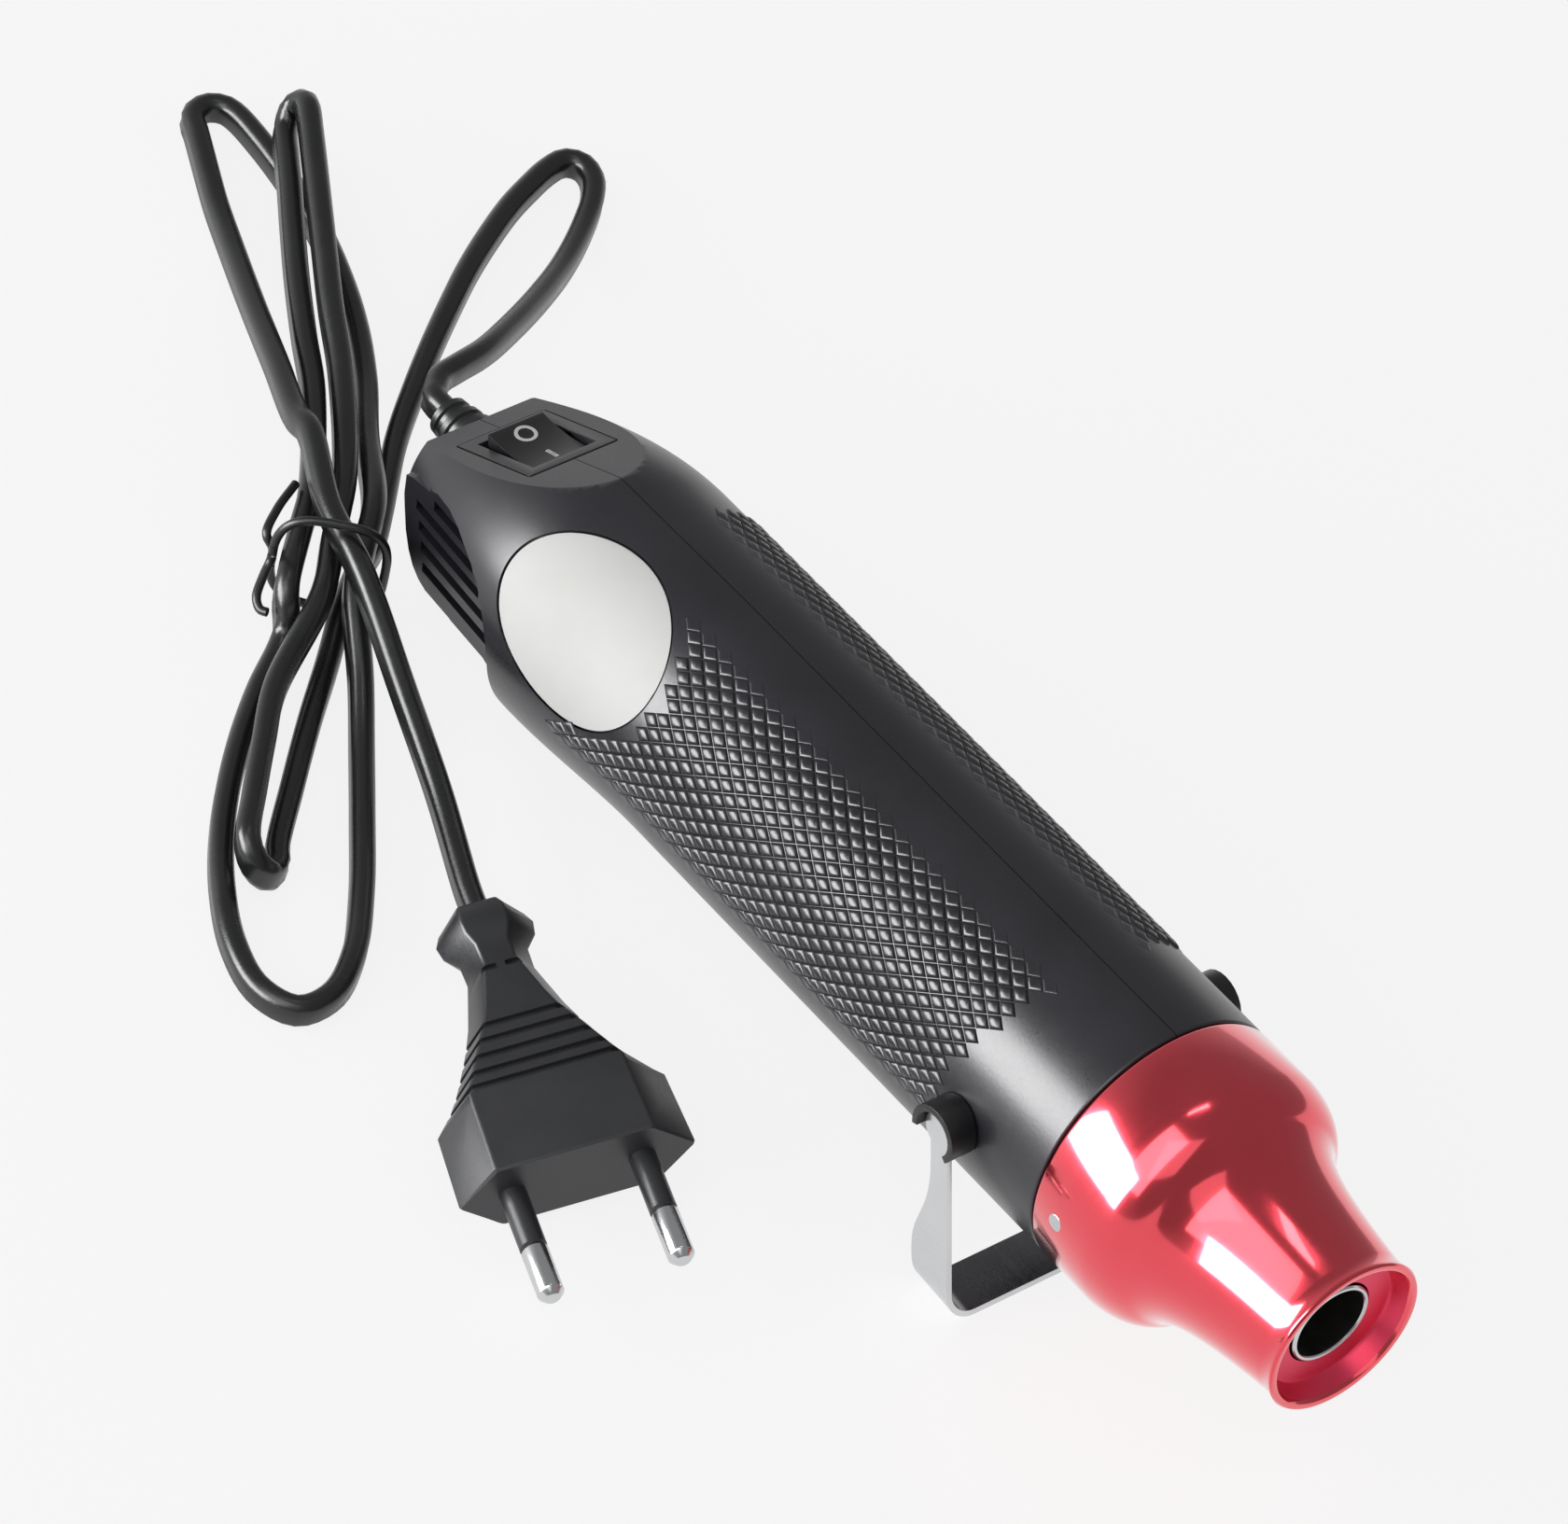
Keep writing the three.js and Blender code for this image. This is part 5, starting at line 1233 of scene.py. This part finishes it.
    def shell(self, switch: RockerSwitch, label: LabelPlate) -> bpy.types.Object:
        """Makes the whole casing before it is parted.

        Args:
            switch: The switch that it has an opening for.
            label: The label that it has a seat for.

        Returns:
            The hollow casing.
        """
        shell = self.form("casing", 0.0)
        root, tip = self.length - self.spigot_root, self.length + self.spigot_length
        self.trim(shell, rod("spigot", root, tip, self.spigot_radius, self.steps), Cut.ADD)
        for side in Side:
            self.trim(shell, self.cheek(side), Cut.ADD)
        for cutter in self.cutters(switch, label):
            self.trim(shell, cutter)
        return shell

    def cutters(self, switch: RockerSwitch, label: LabelPlate) -> Iterator[bpy.types.Object]:
        """Makes what is cut from the casing, each just before its cut.

        Args:
            switch: The switch that it has an opening for.
            label: The label that it has a seat for.

        Yields:
            The solids to take away.
        """
        yield self.cavity()
        yield self.above_panel(0.0)
        yield self.below_heel(0.0)
        yield from switch.openings()
        for make in (self.vent, self.slots):
            yield from map(make, Side)
        yield label.seat(self)
        yield from self.holes()

    def holes(self) -> Iterator[bpy.types.Object]:
        """Makes the holes for the lead, the stand's sockets and the screws."""
        lead = rod("lead_hole", -1, 4, self.lead_hole)
        lead.data.transform(Matrix.Translation((0, 0, self.lead_height)))
        yield lead
        across = Matrix.Rotation(math.pi / 2, 4, "Z")
        socket = rod("socket_hole", -40, 40, self.socket_hole)
        socket.data.transform(Matrix.Translation((self.socket_station, 0, 0)) @ across)
        yield socket
        for x in self.screws:
            screw = rod("screw_hole", self.screw_floor, 30, self.screw_hole)
            screw.data.transform(Matrix.Translation((x, 0, -self.screw_drop)) @ across)
            yield screw

    def build(
        self, frame: ToolFrame, switch: RockerSwitch, label: LabelPlate
    ) -> list[bpy.types.Object]:
        """Makes both half shells.

        Args:
            frame: The tool's frame.
            switch: The rocker switch.
            label: The label plate.

        Returns:
            The two shells.
        """
        whole = self.shell(switch, label)
        halves = []
        for side in Side:
            half = copy_of(whole, f"casing_{side.name.lower()}_shell")
            width = 2 * self.cutter_half
            place = Matrix.Translation((60, side.value * (width / 2 + self.seam), 0))
            self.trim(half, box("half_space", (500, width, 200), place), Cut.KEEP_COMMON)
            smooth(half, 28)
            level_flats(half)
            merge_into(half, [Grip(self, label, side).build()])
            frame.settle(half)
            halves.append(dress(half, CHARCOAL_ABS, nodes=(f"casing_{side.name.lower()}",)))
        bpy.data.objects.remove(whole)
        return halves


@dataclass
class Grip:
    """The moulded diamond grip on one side of the barrel."""

    casing: Casing
    label: LabelPlate
    side: Side
    along: float = 3.76
    around: float = 2.56
    height: float = 0.5
    sunk: float = 0.25
    first: float = 42.0
    last: float = 146.3
    slant: float = 0.096
    top: tuple[float, float] = (21.0, 33.0)
    bottom: tuple[float, float] = (93.0, 103.0)

    def pad(self) -> bpy.types.Object:
        """Models one pad: a low diamond dome."""
        obj = sketch("pad", 4)
        bpy.ops.transform.resize(value=(0.48 * self.along, 0.48 * self.around, 1))
        bpy.ops.transform.translate(value=(0, 0, -self.sunk))
        shift((0, 0, self.sunk))
        for rise, size in ((0.55, 0.8), (0.3, 0.7), (0.15, 0.45)):
            shift((0, 0, rise * self.height))
            bpy.ops.transform.resize(value=(size, size, 1))
        return close_up(obj)

    def wanted(self, x: float, arc: float) -> bool:
        """Whether a pad belongs at a station and an arc from the top."""
        degrees = math.degrees(arc / self.casing.radius)
        if not self.first < x < self.last - self.slant * degrees:
            return False
        if not self.top[0] < degrees < self.bottom[1]:
            return False
        if self.side is Side.LEFT:
            reach = 0.5 * math.degrees(self.around / self.casing.radius)
            tips = ((x - self.along / 2, degrees), (x, degrees - reach), (x, degrees + reach))
            return x > 49 and all(self.label.clearance(*tip) > 0.5 for tip in tips)
        drop = -self.casing.radius * math.cos(math.radians(degrees))
        return all(
            math.hypot(x - screw, drop - self.casing.screw_drop) > 4.6
            for screw in self.casing.screws
        )

    def build(self) -> bpy.types.Object:
        """Repeats the pad over the grip and wraps it round the barrel."""
        pad = self.pad()
        spots = []
        columns, rows = int(110 / self.along), int(50 / self.around)
        for i in range(columns):
            for j in range(rows):
                for half in (0.0, 0.5):
                    x, arc = self.first + (i + half) * self.along, (j + half) * self.around + 6
                    if self.wanted(x, arc):
                        spots.append((x, arc))
        made = []
        for x, arc in spots:
            twin = copy_of(pad, "pad")
            twin.data.transform(Matrix.Translation((x, arc, 0)))
            made.append(twin)
        bpy.data.objects.remove(pad)
        grip = merge_into(made[0], made[1:])
        smooth(grip, 45)
        for vert in grip.data.vertices:
            x, arc, rise = vert.co
            degrees = math.degrees(arc / self.casing.radius)
            fade = smoothstep(degrees, *self.top) * (1 - smoothstep(degrees, *self.bottom))
            if self.side is Side.LEFT:
                fade *= smoothstep(self.label.clearance(x, degrees), -0.5, 3.0)
            reach = self.casing.girth(x) + (rise * fade if rise > 0 else rise)
            turn = arc / self.casing.radius
            vert.co = (
                x,
                self.side.value * reach * math.sin(turn),
                reach * math.cos(turn) + self.casing.sag(x),
            )
        with editing(grip):
            bpy.ops.mesh.select_all(action="SELECT")
            bpy.ops.mesh.normals_make_consistent(inside=False)
        return grip


@dataclass
class LabelPlate:
    """The oval plate on the left side, bare, in a shallow seat."""

    station: float = 47.5
    turn: float = 54.0
    length: float = 33.5
    width: float = 25.5
    depth: float = 0.9
    thickness: float = 0.4
    gap: float = 0.3

    def clearance(self, x: float, degrees: float) -> float:
        """How far outside the plate's edge a place on the left side is."""
        across = math.radians(degrees - self.turn) * 21.5
        share = math.hypot((x - self.station) / self.length, across / self.width)
        return (2 * share - 1) * (self.length + self.width) / 4

    def stand(self, casing: Casing) -> Matrix:
        """The label's own frame: Z out of the barrel, X along it."""
        spot = Matrix.Translation((self.station, 0, casing.sag(self.station)))
        return spot @ Matrix.Rotation(math.radians(self.turn), 4, "X")

    def seat(self, casing: Casing) -> bpy.types.Object:
        """Makes the space of the seat in the casing."""
        oval = sketch("oval", 96)
        bpy.ops.transform.resize(value=(self.length / 2 + self.gap, self.width / 2 + self.gap, 1))
        shift((0, 0, 21))
        close_up(oval)
        oval.data.transform(self.stand(casing) @ Matrix.Translation((0, 0, 10)))
        return carve(oval, casing.form("seat_floor", self.depth))

    def lay(self, plate: bpy.types.Object, casing: Casing, depth: float) -> None:
        """Bends a flat plate onto the barrel.

        Args:
            plate: The plate, drawn flat in its own frame.
            casing: The casing it lies on.
            depth: How far under the casing's surface it lies.
        """
        lean = math.radians(self.turn)
        for vert in plate.data.vertices:
            x = self.station + vert.co.x
            across = vert.co.y + (casing.sag(self.station) - casing.sag(x)) * math.sin(lean)
            out = math.sqrt((casing.girth(x) - depth) ** 2 - across**2)
            vert.co = (
                x,
                across * math.cos(lean) - out * math.sin(lean),
                across * math.sin(lean) + out * math.cos(lean) + casing.sag(x),
            )

    def build(self, frame: ToolFrame, casing: Casing) -> bpy.types.Object:
        """Makes the plate.

        Args:
            frame: The tool's frame.
            casing: The casing it is stuck to.

        Returns:
            The plate.
        """
        plate = sketch("label_blank", 120)
        bpy.ops.transform.resize(value=(self.length / 2, self.width / 2, 1))
        for share in (0.985, 0.92, 0.8, 0.66, 0.5, 0.34, 0.16):
            shift((0, 0, 0))
            x, y = (share * size / 2 for size in (self.length, self.width))
            mesh = bmesh.from_edit_mesh(plate.data)
            chosen = [vert for vert in mesh.verts if vert.select]
            for vert in chosen:
                turn = math.atan2(vert.co.y * self.length, vert.co.x * self.width)
                vert.co = (x * math.cos(turn), y * math.sin(turn), 0)
            bmesh.update_edit_mesh(plate.data)
        close_up(plate)
        self.lay(plate, casing, self.depth - self.gap - self.thickness)
        activate(plate)
        step = plate.modifiers.new("film", "SOLIDIFY")
        step.thickness = self.thickness
        step.offset = -1
        bpy.ops.object.modifier_apply(modifier=step.name)
        ease_edges(plate, 0.1, 2, 50)
        smooth(plate, 30)
        frame.settle(plate)
        return dress(plate, WHITE_FILM, nodes=("label_plate",))


@dataclass
class Nozzle:
    """The drawn nozzle: a band, a round shoulder, a neck and a rolled rim, round the hot tube."""

    start: float = 161.3
    reach: float = 42.5
    band: float = 21.6
    wall: float = 1.5
    shoulder: Profile = ((11.0, 21.6), (16.3, 21.0), (17.8, 18.2))
    neck: Profile = ((17.8, 18.2), (20.0, 15.9), (24.6, 14.2), (39.5, 12.7))
    rim: float = 12.9
    mouth: float = 3.5
    outlet: float = 6.7
    steps: int = 160

    def skin(self) -> list[tuple[float, float]]:
        """Draws the outside from the band to the neck."""
        base = Vector((self.start - 0.3, 0))
        shoulder = [base + Vector(p) for p in self.shoulder]
        neck = [base + Vector(p) for p in self.neck]
        points = []
        for i in range(10):
            t = i / 10
            points.append(
                shoulder[0] * (1 - t) ** 2 + shoulder[1] * 2 * t * (1 - t) + shoulder[2] * t**2
            )
        for i in range(19):
            t = i / 18
            points.append(
                neck[0] * (1 - t) ** 3 + neck[1] * 3 * t * (1 - t) ** 2
                + neck[2] * 3 * t**2 * (1 - t) + neck[3] * t**3
            )
        return [(p.x, p.y) for p in points]

    def build(self, frame: ToolFrame) -> list[bpy.types.Object]:
        """Makes the shroud, with its mouth painted a lighter red as painted light, and the hot tube.

        Args:
            frame: The tool's frame.

        Returns:
            The new pieces.
        """
        tip = self.start - 0.3 + self.reach
        floor = tip - self.mouth
        skin = self.skin()
        inner = [(x, r - self.wall) for x, r in skin if x < floor - 3]
        rim = [
            (tip - 1.3, self.rim - 0.25), (tip - 0.8, self.rim + 0.05),
            (tip - 0.35, self.rim + 0.1), (tip - 0.05, self.rim - 0.15),
            (tip, self.rim - 0.6), (tip - 0.1, self.rim - 1.0), (tip - 0.6, self.rim - 1.35),
            (floor + 0.6, self.rim - 1.9), (floor + 0.15, self.rim - 2.2),
            (floor, self.rim - 2.8), (floor, self.outlet + 0.3),
            (floor - self.wall, self.outlet + 0.3),
        ]
        profile = [
            (self.start, self.band - self.wall), (self.start, self.band - 0.5),
            (self.start + 0.15, self.band - 0.15), (self.start + 0.5, self.band),
            *skin, *rim, (floor - self.wall, self.neck[-1][1] - self.wall),
            *inner[::-1], (self.start, self.band - self.wall),
        ]
        shroud = revolve("nozzle_shell", profile, self.steps)
        smooth(shroud, 40)
        frame.settle(shroud)
        pieces = [dress(shroud, RED_LACQUER, nodes=("nozzle_shroud",))]
        self.paint_mouth_light(pieces[0], frame, floor)
        pieces.append(self.hot_tube(frame, floor))
        return pieces

    def paint_mouth_light(self, shroud: bpy.types.Object, frame: ToolFrame, floor: float) -> None:
        """Gives the recessed front annulus a duller gloss and a brighter, pinker red, which is
        painted light.
        """
        shroud.data.materials.append(RED_MOUTH_PAINTED_LIGHT.material())
        back = frame.matrix.inverted()
        # The faces of the recessed mouth take the red that is painted lighter: painted light
        for face in shroud.data.polygons:
            spot = back @ face.center
            if floor - 0.1 < spot.x < floor + 2.6 and math.hypot(spot.y, spot.z) < self.rim - 1.4:
                face.material_index = 1

    def hot_tube(self, frame: ToolFrame, floor: float) -> bpy.types.Object:
        """Makes the steel tube whose end shows in the mouth."""
        end = floor + 0.5
        wall = 0.8
        profile = [
            (112, 12.4), (172, 12.4), (end - 10.5, self.outlet), (end - 0.2, self.outlet),
            (end, self.outlet - 0.25), (end, self.outlet - wall + 0.15),
            (end - 0.2, self.outlet - wall), (end - 10.5, self.outlet - wall),
            (172, 12.4 - wall), (112, 12.4 - wall), (112, 12.4),
        ]
        obj = revolve("hot_air_tube", profile, 96)
        smooth(obj, 30)
        frame.settle(obj)
        return dress(obj, BRIGHT_STEEL, nodes=("heater_tube",))


@dataclass
class RockerSwitch:
    """The rocker switch on the slanted panel."""

    reach: float = 13.6
    slope: float = math.radians(24.4)
    panel_height: float = 7.1
    frame_size: tuple[float, float] = (16.3, 13.9)
    depth: float = 13.0
    pivot: float = -0.8
    tilt: float = math.radians(9)
    nudge: tuple[float, float] = (-0.8, 1.7)
    seat: float = 1.45
    lean: float = math.radians(4)
    slack: float = 0.915
    key_width: float = 9.9

    def place(self) -> Matrix:
        """The switch's own frame on the panel, in the tool's millimetres."""
        height = self.panel_height + self.reach * math.tan(self.slope)
        return Matrix.Translation((self.reach, 0, height)) @ Matrix.Rotation(-self.slope, 4, "Y")

    def openings(self) -> Iterator[bpy.types.Object]:
        """Makes the spaces of the opening in the casing and of the shallow seat round it."""
        for margin, floor in ((0.6, -self.depth), (2.4, -1.2)):
            size = (self.frame_size[0] + margin, self.frame_size[1] + margin, 2 - floor)
            spot = Matrix.Translation((self.nudge[0], 0, 1 + floor / 2))
            yield box("switch_opening", size, self.place() @ spot, 0.6)

    def lower(self, obj: bpy.types.Object, frame: ToolFrame, drop: float) -> bpy.types.Object:
        """Seats a piece of the switch in the panel, a drop below its CAD node."""
        way = (frame.matrix @ self.place()).to_3x3() @ Vector((self.nudge[0], 0, -drop))
        obj.data.transform(Matrix.Translation(way))
        return obj

    def tip(self, key: bpy.types.Object, frame: ToolFrame) -> None:
        """Presses the rocker's front end a little further down, and clears the seat's walls."""
        here = frame.matrix @ self.place() @ Matrix.Translation(
            (self.nudge[0], 0, self.pivot - self.nudge[1])
        )
        trim = Matrix.Diagonal((self.slack, 1.0, 1.0, 1.0))
        key.data.transform(here @ Matrix.Rotation(self.lean, 4, "Y") @ trim @ here.inverted())
        carve(
            key, frame.settle(box("key_width", (40, self.key_width, 40), self.place())),
            Cut.KEEP_COMMON,
        )

    def mark(
        self, name: str, points: list[Profile], key: bpy.types.Object, frame: ToolFrame
    ) -> bpy.types.Object:
        """Prints a mark on the rocker's dished face.

        Args:
            name: The mark's name.
            points: Rings of points in the rocker's X and Y, outer and then inner if it is a ring.
            key: The rocker, in metres.
            frame: The tool's frame.

        Returns:
            The mark, a thin film on the face.
        """
        activate_nothing()
        bpy.ops.mesh.primitive_plane_add(size=1)
        obj = bpy.context.object
        obj.name = name
        mesh = bmesh.new()
        rings = [[mesh.verts.new((x, y, 12.0)) for x, y in ring] for ring in points]
        count = len(rings[0])
        for i in range(count):
            mesh.faces.new((
                rings[0][i], rings[0][(i + 1) % count], rings[1][(i + 1) % count], rings[1][i]
            ))
        mesh.to_mesh(obj.data)
        mesh.free()
        spot = Matrix.Translation((self.nudge[0], 0, self.pivot - self.nudge[1]))
        turn = spot @ Matrix.Rotation(self.tilt + self.lean, 4, "Y")
        obj.data.transform(self.place() @ turn)
        frame.settle(obj)
        down = -(
            frame.matrix.to_3x3() @ (self.place() @ turn).to_3x3() @ Vector((0, 0, 1))
        ).normalized()
        for vert in obj.data.vertices:
            hit, spot, _, _ = key.ray_cast(vert.co, down)
            if hit:
                vert.co = spot - down * 0.03 * MM
        activate(obj)
        step = obj.modifiers.new("film", "SOLIDIFY")
        step.thickness = 0.06 * MM
        step.offset = 0
        bpy.ops.object.modifier_apply(modifier=step.name)
        with editing(obj):
            bpy.ops.mesh.select_all(action="SELECT")
            bpy.ops.mesh.normals_make_consistent(inside=False)
        return dress(obj, WHITE_INK, Body.ROCKER)

    def build(self, frame: ToolFrame) -> list[bpy.types.Object]:
        """Makes the frame, the rocker and its two marks.

        Args:
            frame: The tool's frame.

        Returns:
            The new pieces.
        """
        bezel = self.lower(
            refine("switch_frame", "switch_bezel", 0.2, CHARCOAL_NYLON), frame, self.seat
        )
        key = refine("switch_rocker", "switch_key", 0.35, BLACK_NYLON, Body.ROCKER)
        self.lower(key, frame, self.nudge[1])
        self.tip(key, frame)
        angles = [2 * math.pi * i / 40 for i in range(40)]
        ring = [[(-3.1 + r * math.cos(t), r * math.sin(t)) for t in angles] for r in (1.75, 1.2)]
        dash = [
            [(2.0, 0.28), (4.6, 0.28), (4.6, -0.28), (2.0, -0.28)],
            [(2.2, 0.1), (4.4, 0.1), (4.4, -0.1), (2.2, -0.1)],
        ]
        return [
            bezel, key, self.mark("mark_off", ring, key, frame),
            self.mark("mark_on", dash, key, frame),
        ]


def refine(
    node: str,
    name: str,
    width: float,
    finish: Finish,
    body: Body = Body.TOOL,
    angle: float = 40.0,
) -> bpy.types.Object:
    """Copies a CAD node, merges its triangles, rounds its edges and shades it smooth.

    Args:
        node: The CAD node.
        name: The new piece's name.
        width: Width of the rounded edges, in millimetres.
        finish: Its finish.
        body: The body it moves with.
        angle: Edges sharper than this many degrees are rounded.

    Returns:
        The piece that stands for the node.
    """
    obj = bpy.data.objects.new(name, bpy.data.objects[node].data.copy())
    bpy.context.scene.collection.objects.link(obj)
    obj.data.transform(Matrix.Scale(1 / MM, 4))
    with editing(obj):
        bpy.ops.mesh.select_all(action="SELECT")
        bpy.ops.mesh.remove_doubles(threshold=0.001)
        bpy.ops.mesh.dissolve_limited(angle_limit=math.radians(1))
    ease_edges(obj, width, 3, angle)
    obj.data.transform(Matrix.Scale(MM, 4))
    smooth(obj, 30)
    return dress(obj, finish, body, (node,))


@dataclass
class Plug:
    """The two-pin plug: a lobed collar, a ribbed grip that flares, and a six-sided head.

    Each station has its place from the face, its half width at mid height, and the half width and
    half height of its flats.
    """

    face: tuple[float, float] = (11.0, -60.65)
    heading: float = math.radians(-18.64)
    roll: float = math.radians(13)
    pin_pitch: float = 19.0
    sleeve: float = 10.0
    grooves: tuple[float, ...] = (-26.0, -23.4, -20.7, -18.0, -15.6)
    groove_depth: float = 0.6
    stations: tuple[tuple[float, float, float, float], ...] = (
        (-48.2, 4.6, 2.9, 4.0), (-46.6, 6.6, 3.2, 4.9), (-45.0, 7.4, 3.3, 5.0),
        (-42.8, 7.0, 3.2, 5.0), (-40.6, 5.2, 2.4, 4.6), (-37.0, 5.1, 2.3, 4.6),
        (-34.4, 5.85, 3.0, 4.7), (-29.5, 7.3, 4.4, 4.8), (-26.2, 8.6, 5.6, 4.9),
        (-24.4, 9.4, 6.6, 5.0), (-19.0, 12.1, 9.2, 5.3), (-16.0, 14.0, 10.6, 5.5),
        (-14.6, 15.2, 11.0, 5.6), (-14.0, 15.7, 11.2, 6.5), (-12.65, 16.9, 11.25, 6.5),
        (-0.4, 17.45, 11.55, 6.5), (0.0, 17.2, 11.3, 6.2),
    )

    def place(self) -> Matrix:
        """The plug's frame in metres, resting on its lower left edge."""
        lift = 0.05 + max(
            a * math.sin(self.roll) + h * math.cos(self.roll) for _, _, a, h in self.stations
        )
        spot = Matrix.Translation(Vector((*self.face, lift)) * MM)
        turn = Matrix.Rotation(self.heading, 4, "Z") @ Matrix.Rotation(self.roll, 4, "X")
        return spot @ turn @ Matrix.Scale(MM, 4)

    def section(self, x: float, inset: float) -> tuple[float, float, float, float]:
        """Reads the section at a station, drawn in by an inset."""
        xs, *rest = zip(*self.stations)
        edge, flat, rise = (float(np.interp(x, xs, values)) for values in rest)
        return x, edge - inset, flat - inset / 2, rise - inset

    def ribbed(self) -> list[tuple[float, float, float, float]]:
        """Adds the grooves of the grip to the stations."""
        first, last = self.grooves[0] - 0.6, self.grooves[-1] + 0.6
        rings = [ring for ring in self.stations if not first < ring[0] < last]
        for x in self.grooves:
            for offset, share in ((-0.55, 0), (-0.4, 1), (0.4, 1), (0.55, 0)):
                rings.append(self.section(x + offset, share * self.groove_depth))
        return sorted(rings)

    def loft(self) -> bpy.types.Object:
        """Draws the body from its rear end to its face, ring by ring."""
        obj = sketch("plug_moulding", 6)
        corners = ((1, 0), (1, 1), (-1, 1), (-1, 0), (-1, -1), (1, -1))
        for i, (x, edge, flat, rise) in enumerate(self.ribbed()):
            if i:
                shift((0, 0, 0))
            mesh = bmesh.from_edit_mesh(obj.data)
            for vert, (y, z) in zip((v for v in mesh.verts if v.select), corners):
                vert.co = (x, y * (flat if z else edge), z * rise)
            bmesh.update_edit_mesh(obj.data)
        close_up(obj)
        with editing(obj, "EDGE") as mesh:
            select(mesh, mesh.edges, lambda e: abs((e.verts[0].co - e.verts[1].co).x) > 0.05)
            bpy.ops.mesh.bevel(offset=0.4, segments=3, affect="EDGES")
        return obj

    def build(self) -> list[bpy.types.Object]:
        """Makes the plug's moulding and its pins.

        Returns:
            The moulding and both pins.
        """
        body = self.loft()
        for y in (-1.85, 1.85):
            carve(body, box("cable_slot", (1.0, 2.6, 3), Matrix.Translation((-35.9, y, 5.4)), 0.3))
        sleeves = []
        for sign in (-1, 1):
            profile = [
                (-1, 0), (-1, 2.0), (self.sleeve - 0.3, 2.0), (self.sleeve, 1.7), (self.sleeve, 0),
            ]
            sleeve = revolve("sleeve", profile, 40)
            sleeve.data.transform(Matrix.Translation((0, sign * self.pin_pitch / 2, 0)))
            sleeves.append(sleeve)
        merge_into(body, sleeves)
        smooth(body, 32)
        body.data.transform(self.place())
        dress(body, BLACK_PLUG, nodes=("plug_body",))
        pins = [refine(f"plug_pin_{i}", f"contact_pin_{i}", 0.2, BRIGHT_STEEL) for i in (1, 2)]
        return [body, *pins]


class Fittings:
    """The stand, its sockets and the small metal parts, refined from the CAD solids."""

    def build(self) -> None:
        """Makes the pieces that keep their CAD shape with rounded edges."""
        refine("stand_bracket", "stand_strip", 0.14, POLISHED_STEEL, Body.STAND, 50)
        for side in ("left", "right"):
            refine(f"stand_socket_{side}", f"stand_boss_{side}", 0.22, BLACK_NYLON)
            refine(f"nozzle_pin_{side}", f"nozzle_rivet_{side}", 0.25, BRIGHT_STEEL)
        for i in (1, 2):
            refine(f"casing_screw_{i}", f"casing_fixing_{i}", 0.15, INNER_FINISHES["steel"])

    def dress_inside(self, frame: dict) -> None:
        """Gives the CAD nodes that stay inside their own materials.

        Args:
            frame: The loaded frame.
        """
        slots = {row["node"]: row["material_slot"] for row in frame["record"]["subparts"]}
        for name, node in frame["nodes"].items():
            if node.hide_render:
                continue
            finish = INNER_FINISHES.get(slots.get(name, ""), INNER_FINISHES["nylon"])
            node.data.materials.clear()
            node.data.materials.append(finish.material())


def main() -> None:
    """Builds the studio and every sub-assembly."""
    logging.basicConfig(level=logging.INFO, format="%(message)s")
    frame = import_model()
    Studio().build()
    lead_maker = MainsLead()
    lead = lead_maker.build()
    tool = ToolFrame().read(frame["joints"])
    tie = TwistTie().build()
    sleeve = StrainRelief().build(tool)
    plug = Plug().build()
    lead_maker.declare(lead, [*plug, tie, sleeve])
    casing, label, switch = Casing(), LabelPlate(), RockerSwitch()
    casing.build(tool, switch, label)
    label.build(tool, casing)
    switch.build(tool)
    Nozzle().build(tool)
    fittings = Fittings()
    fittings.build()
    fittings.dress_inside(frame)


if __name__ == "__main__":
    main()
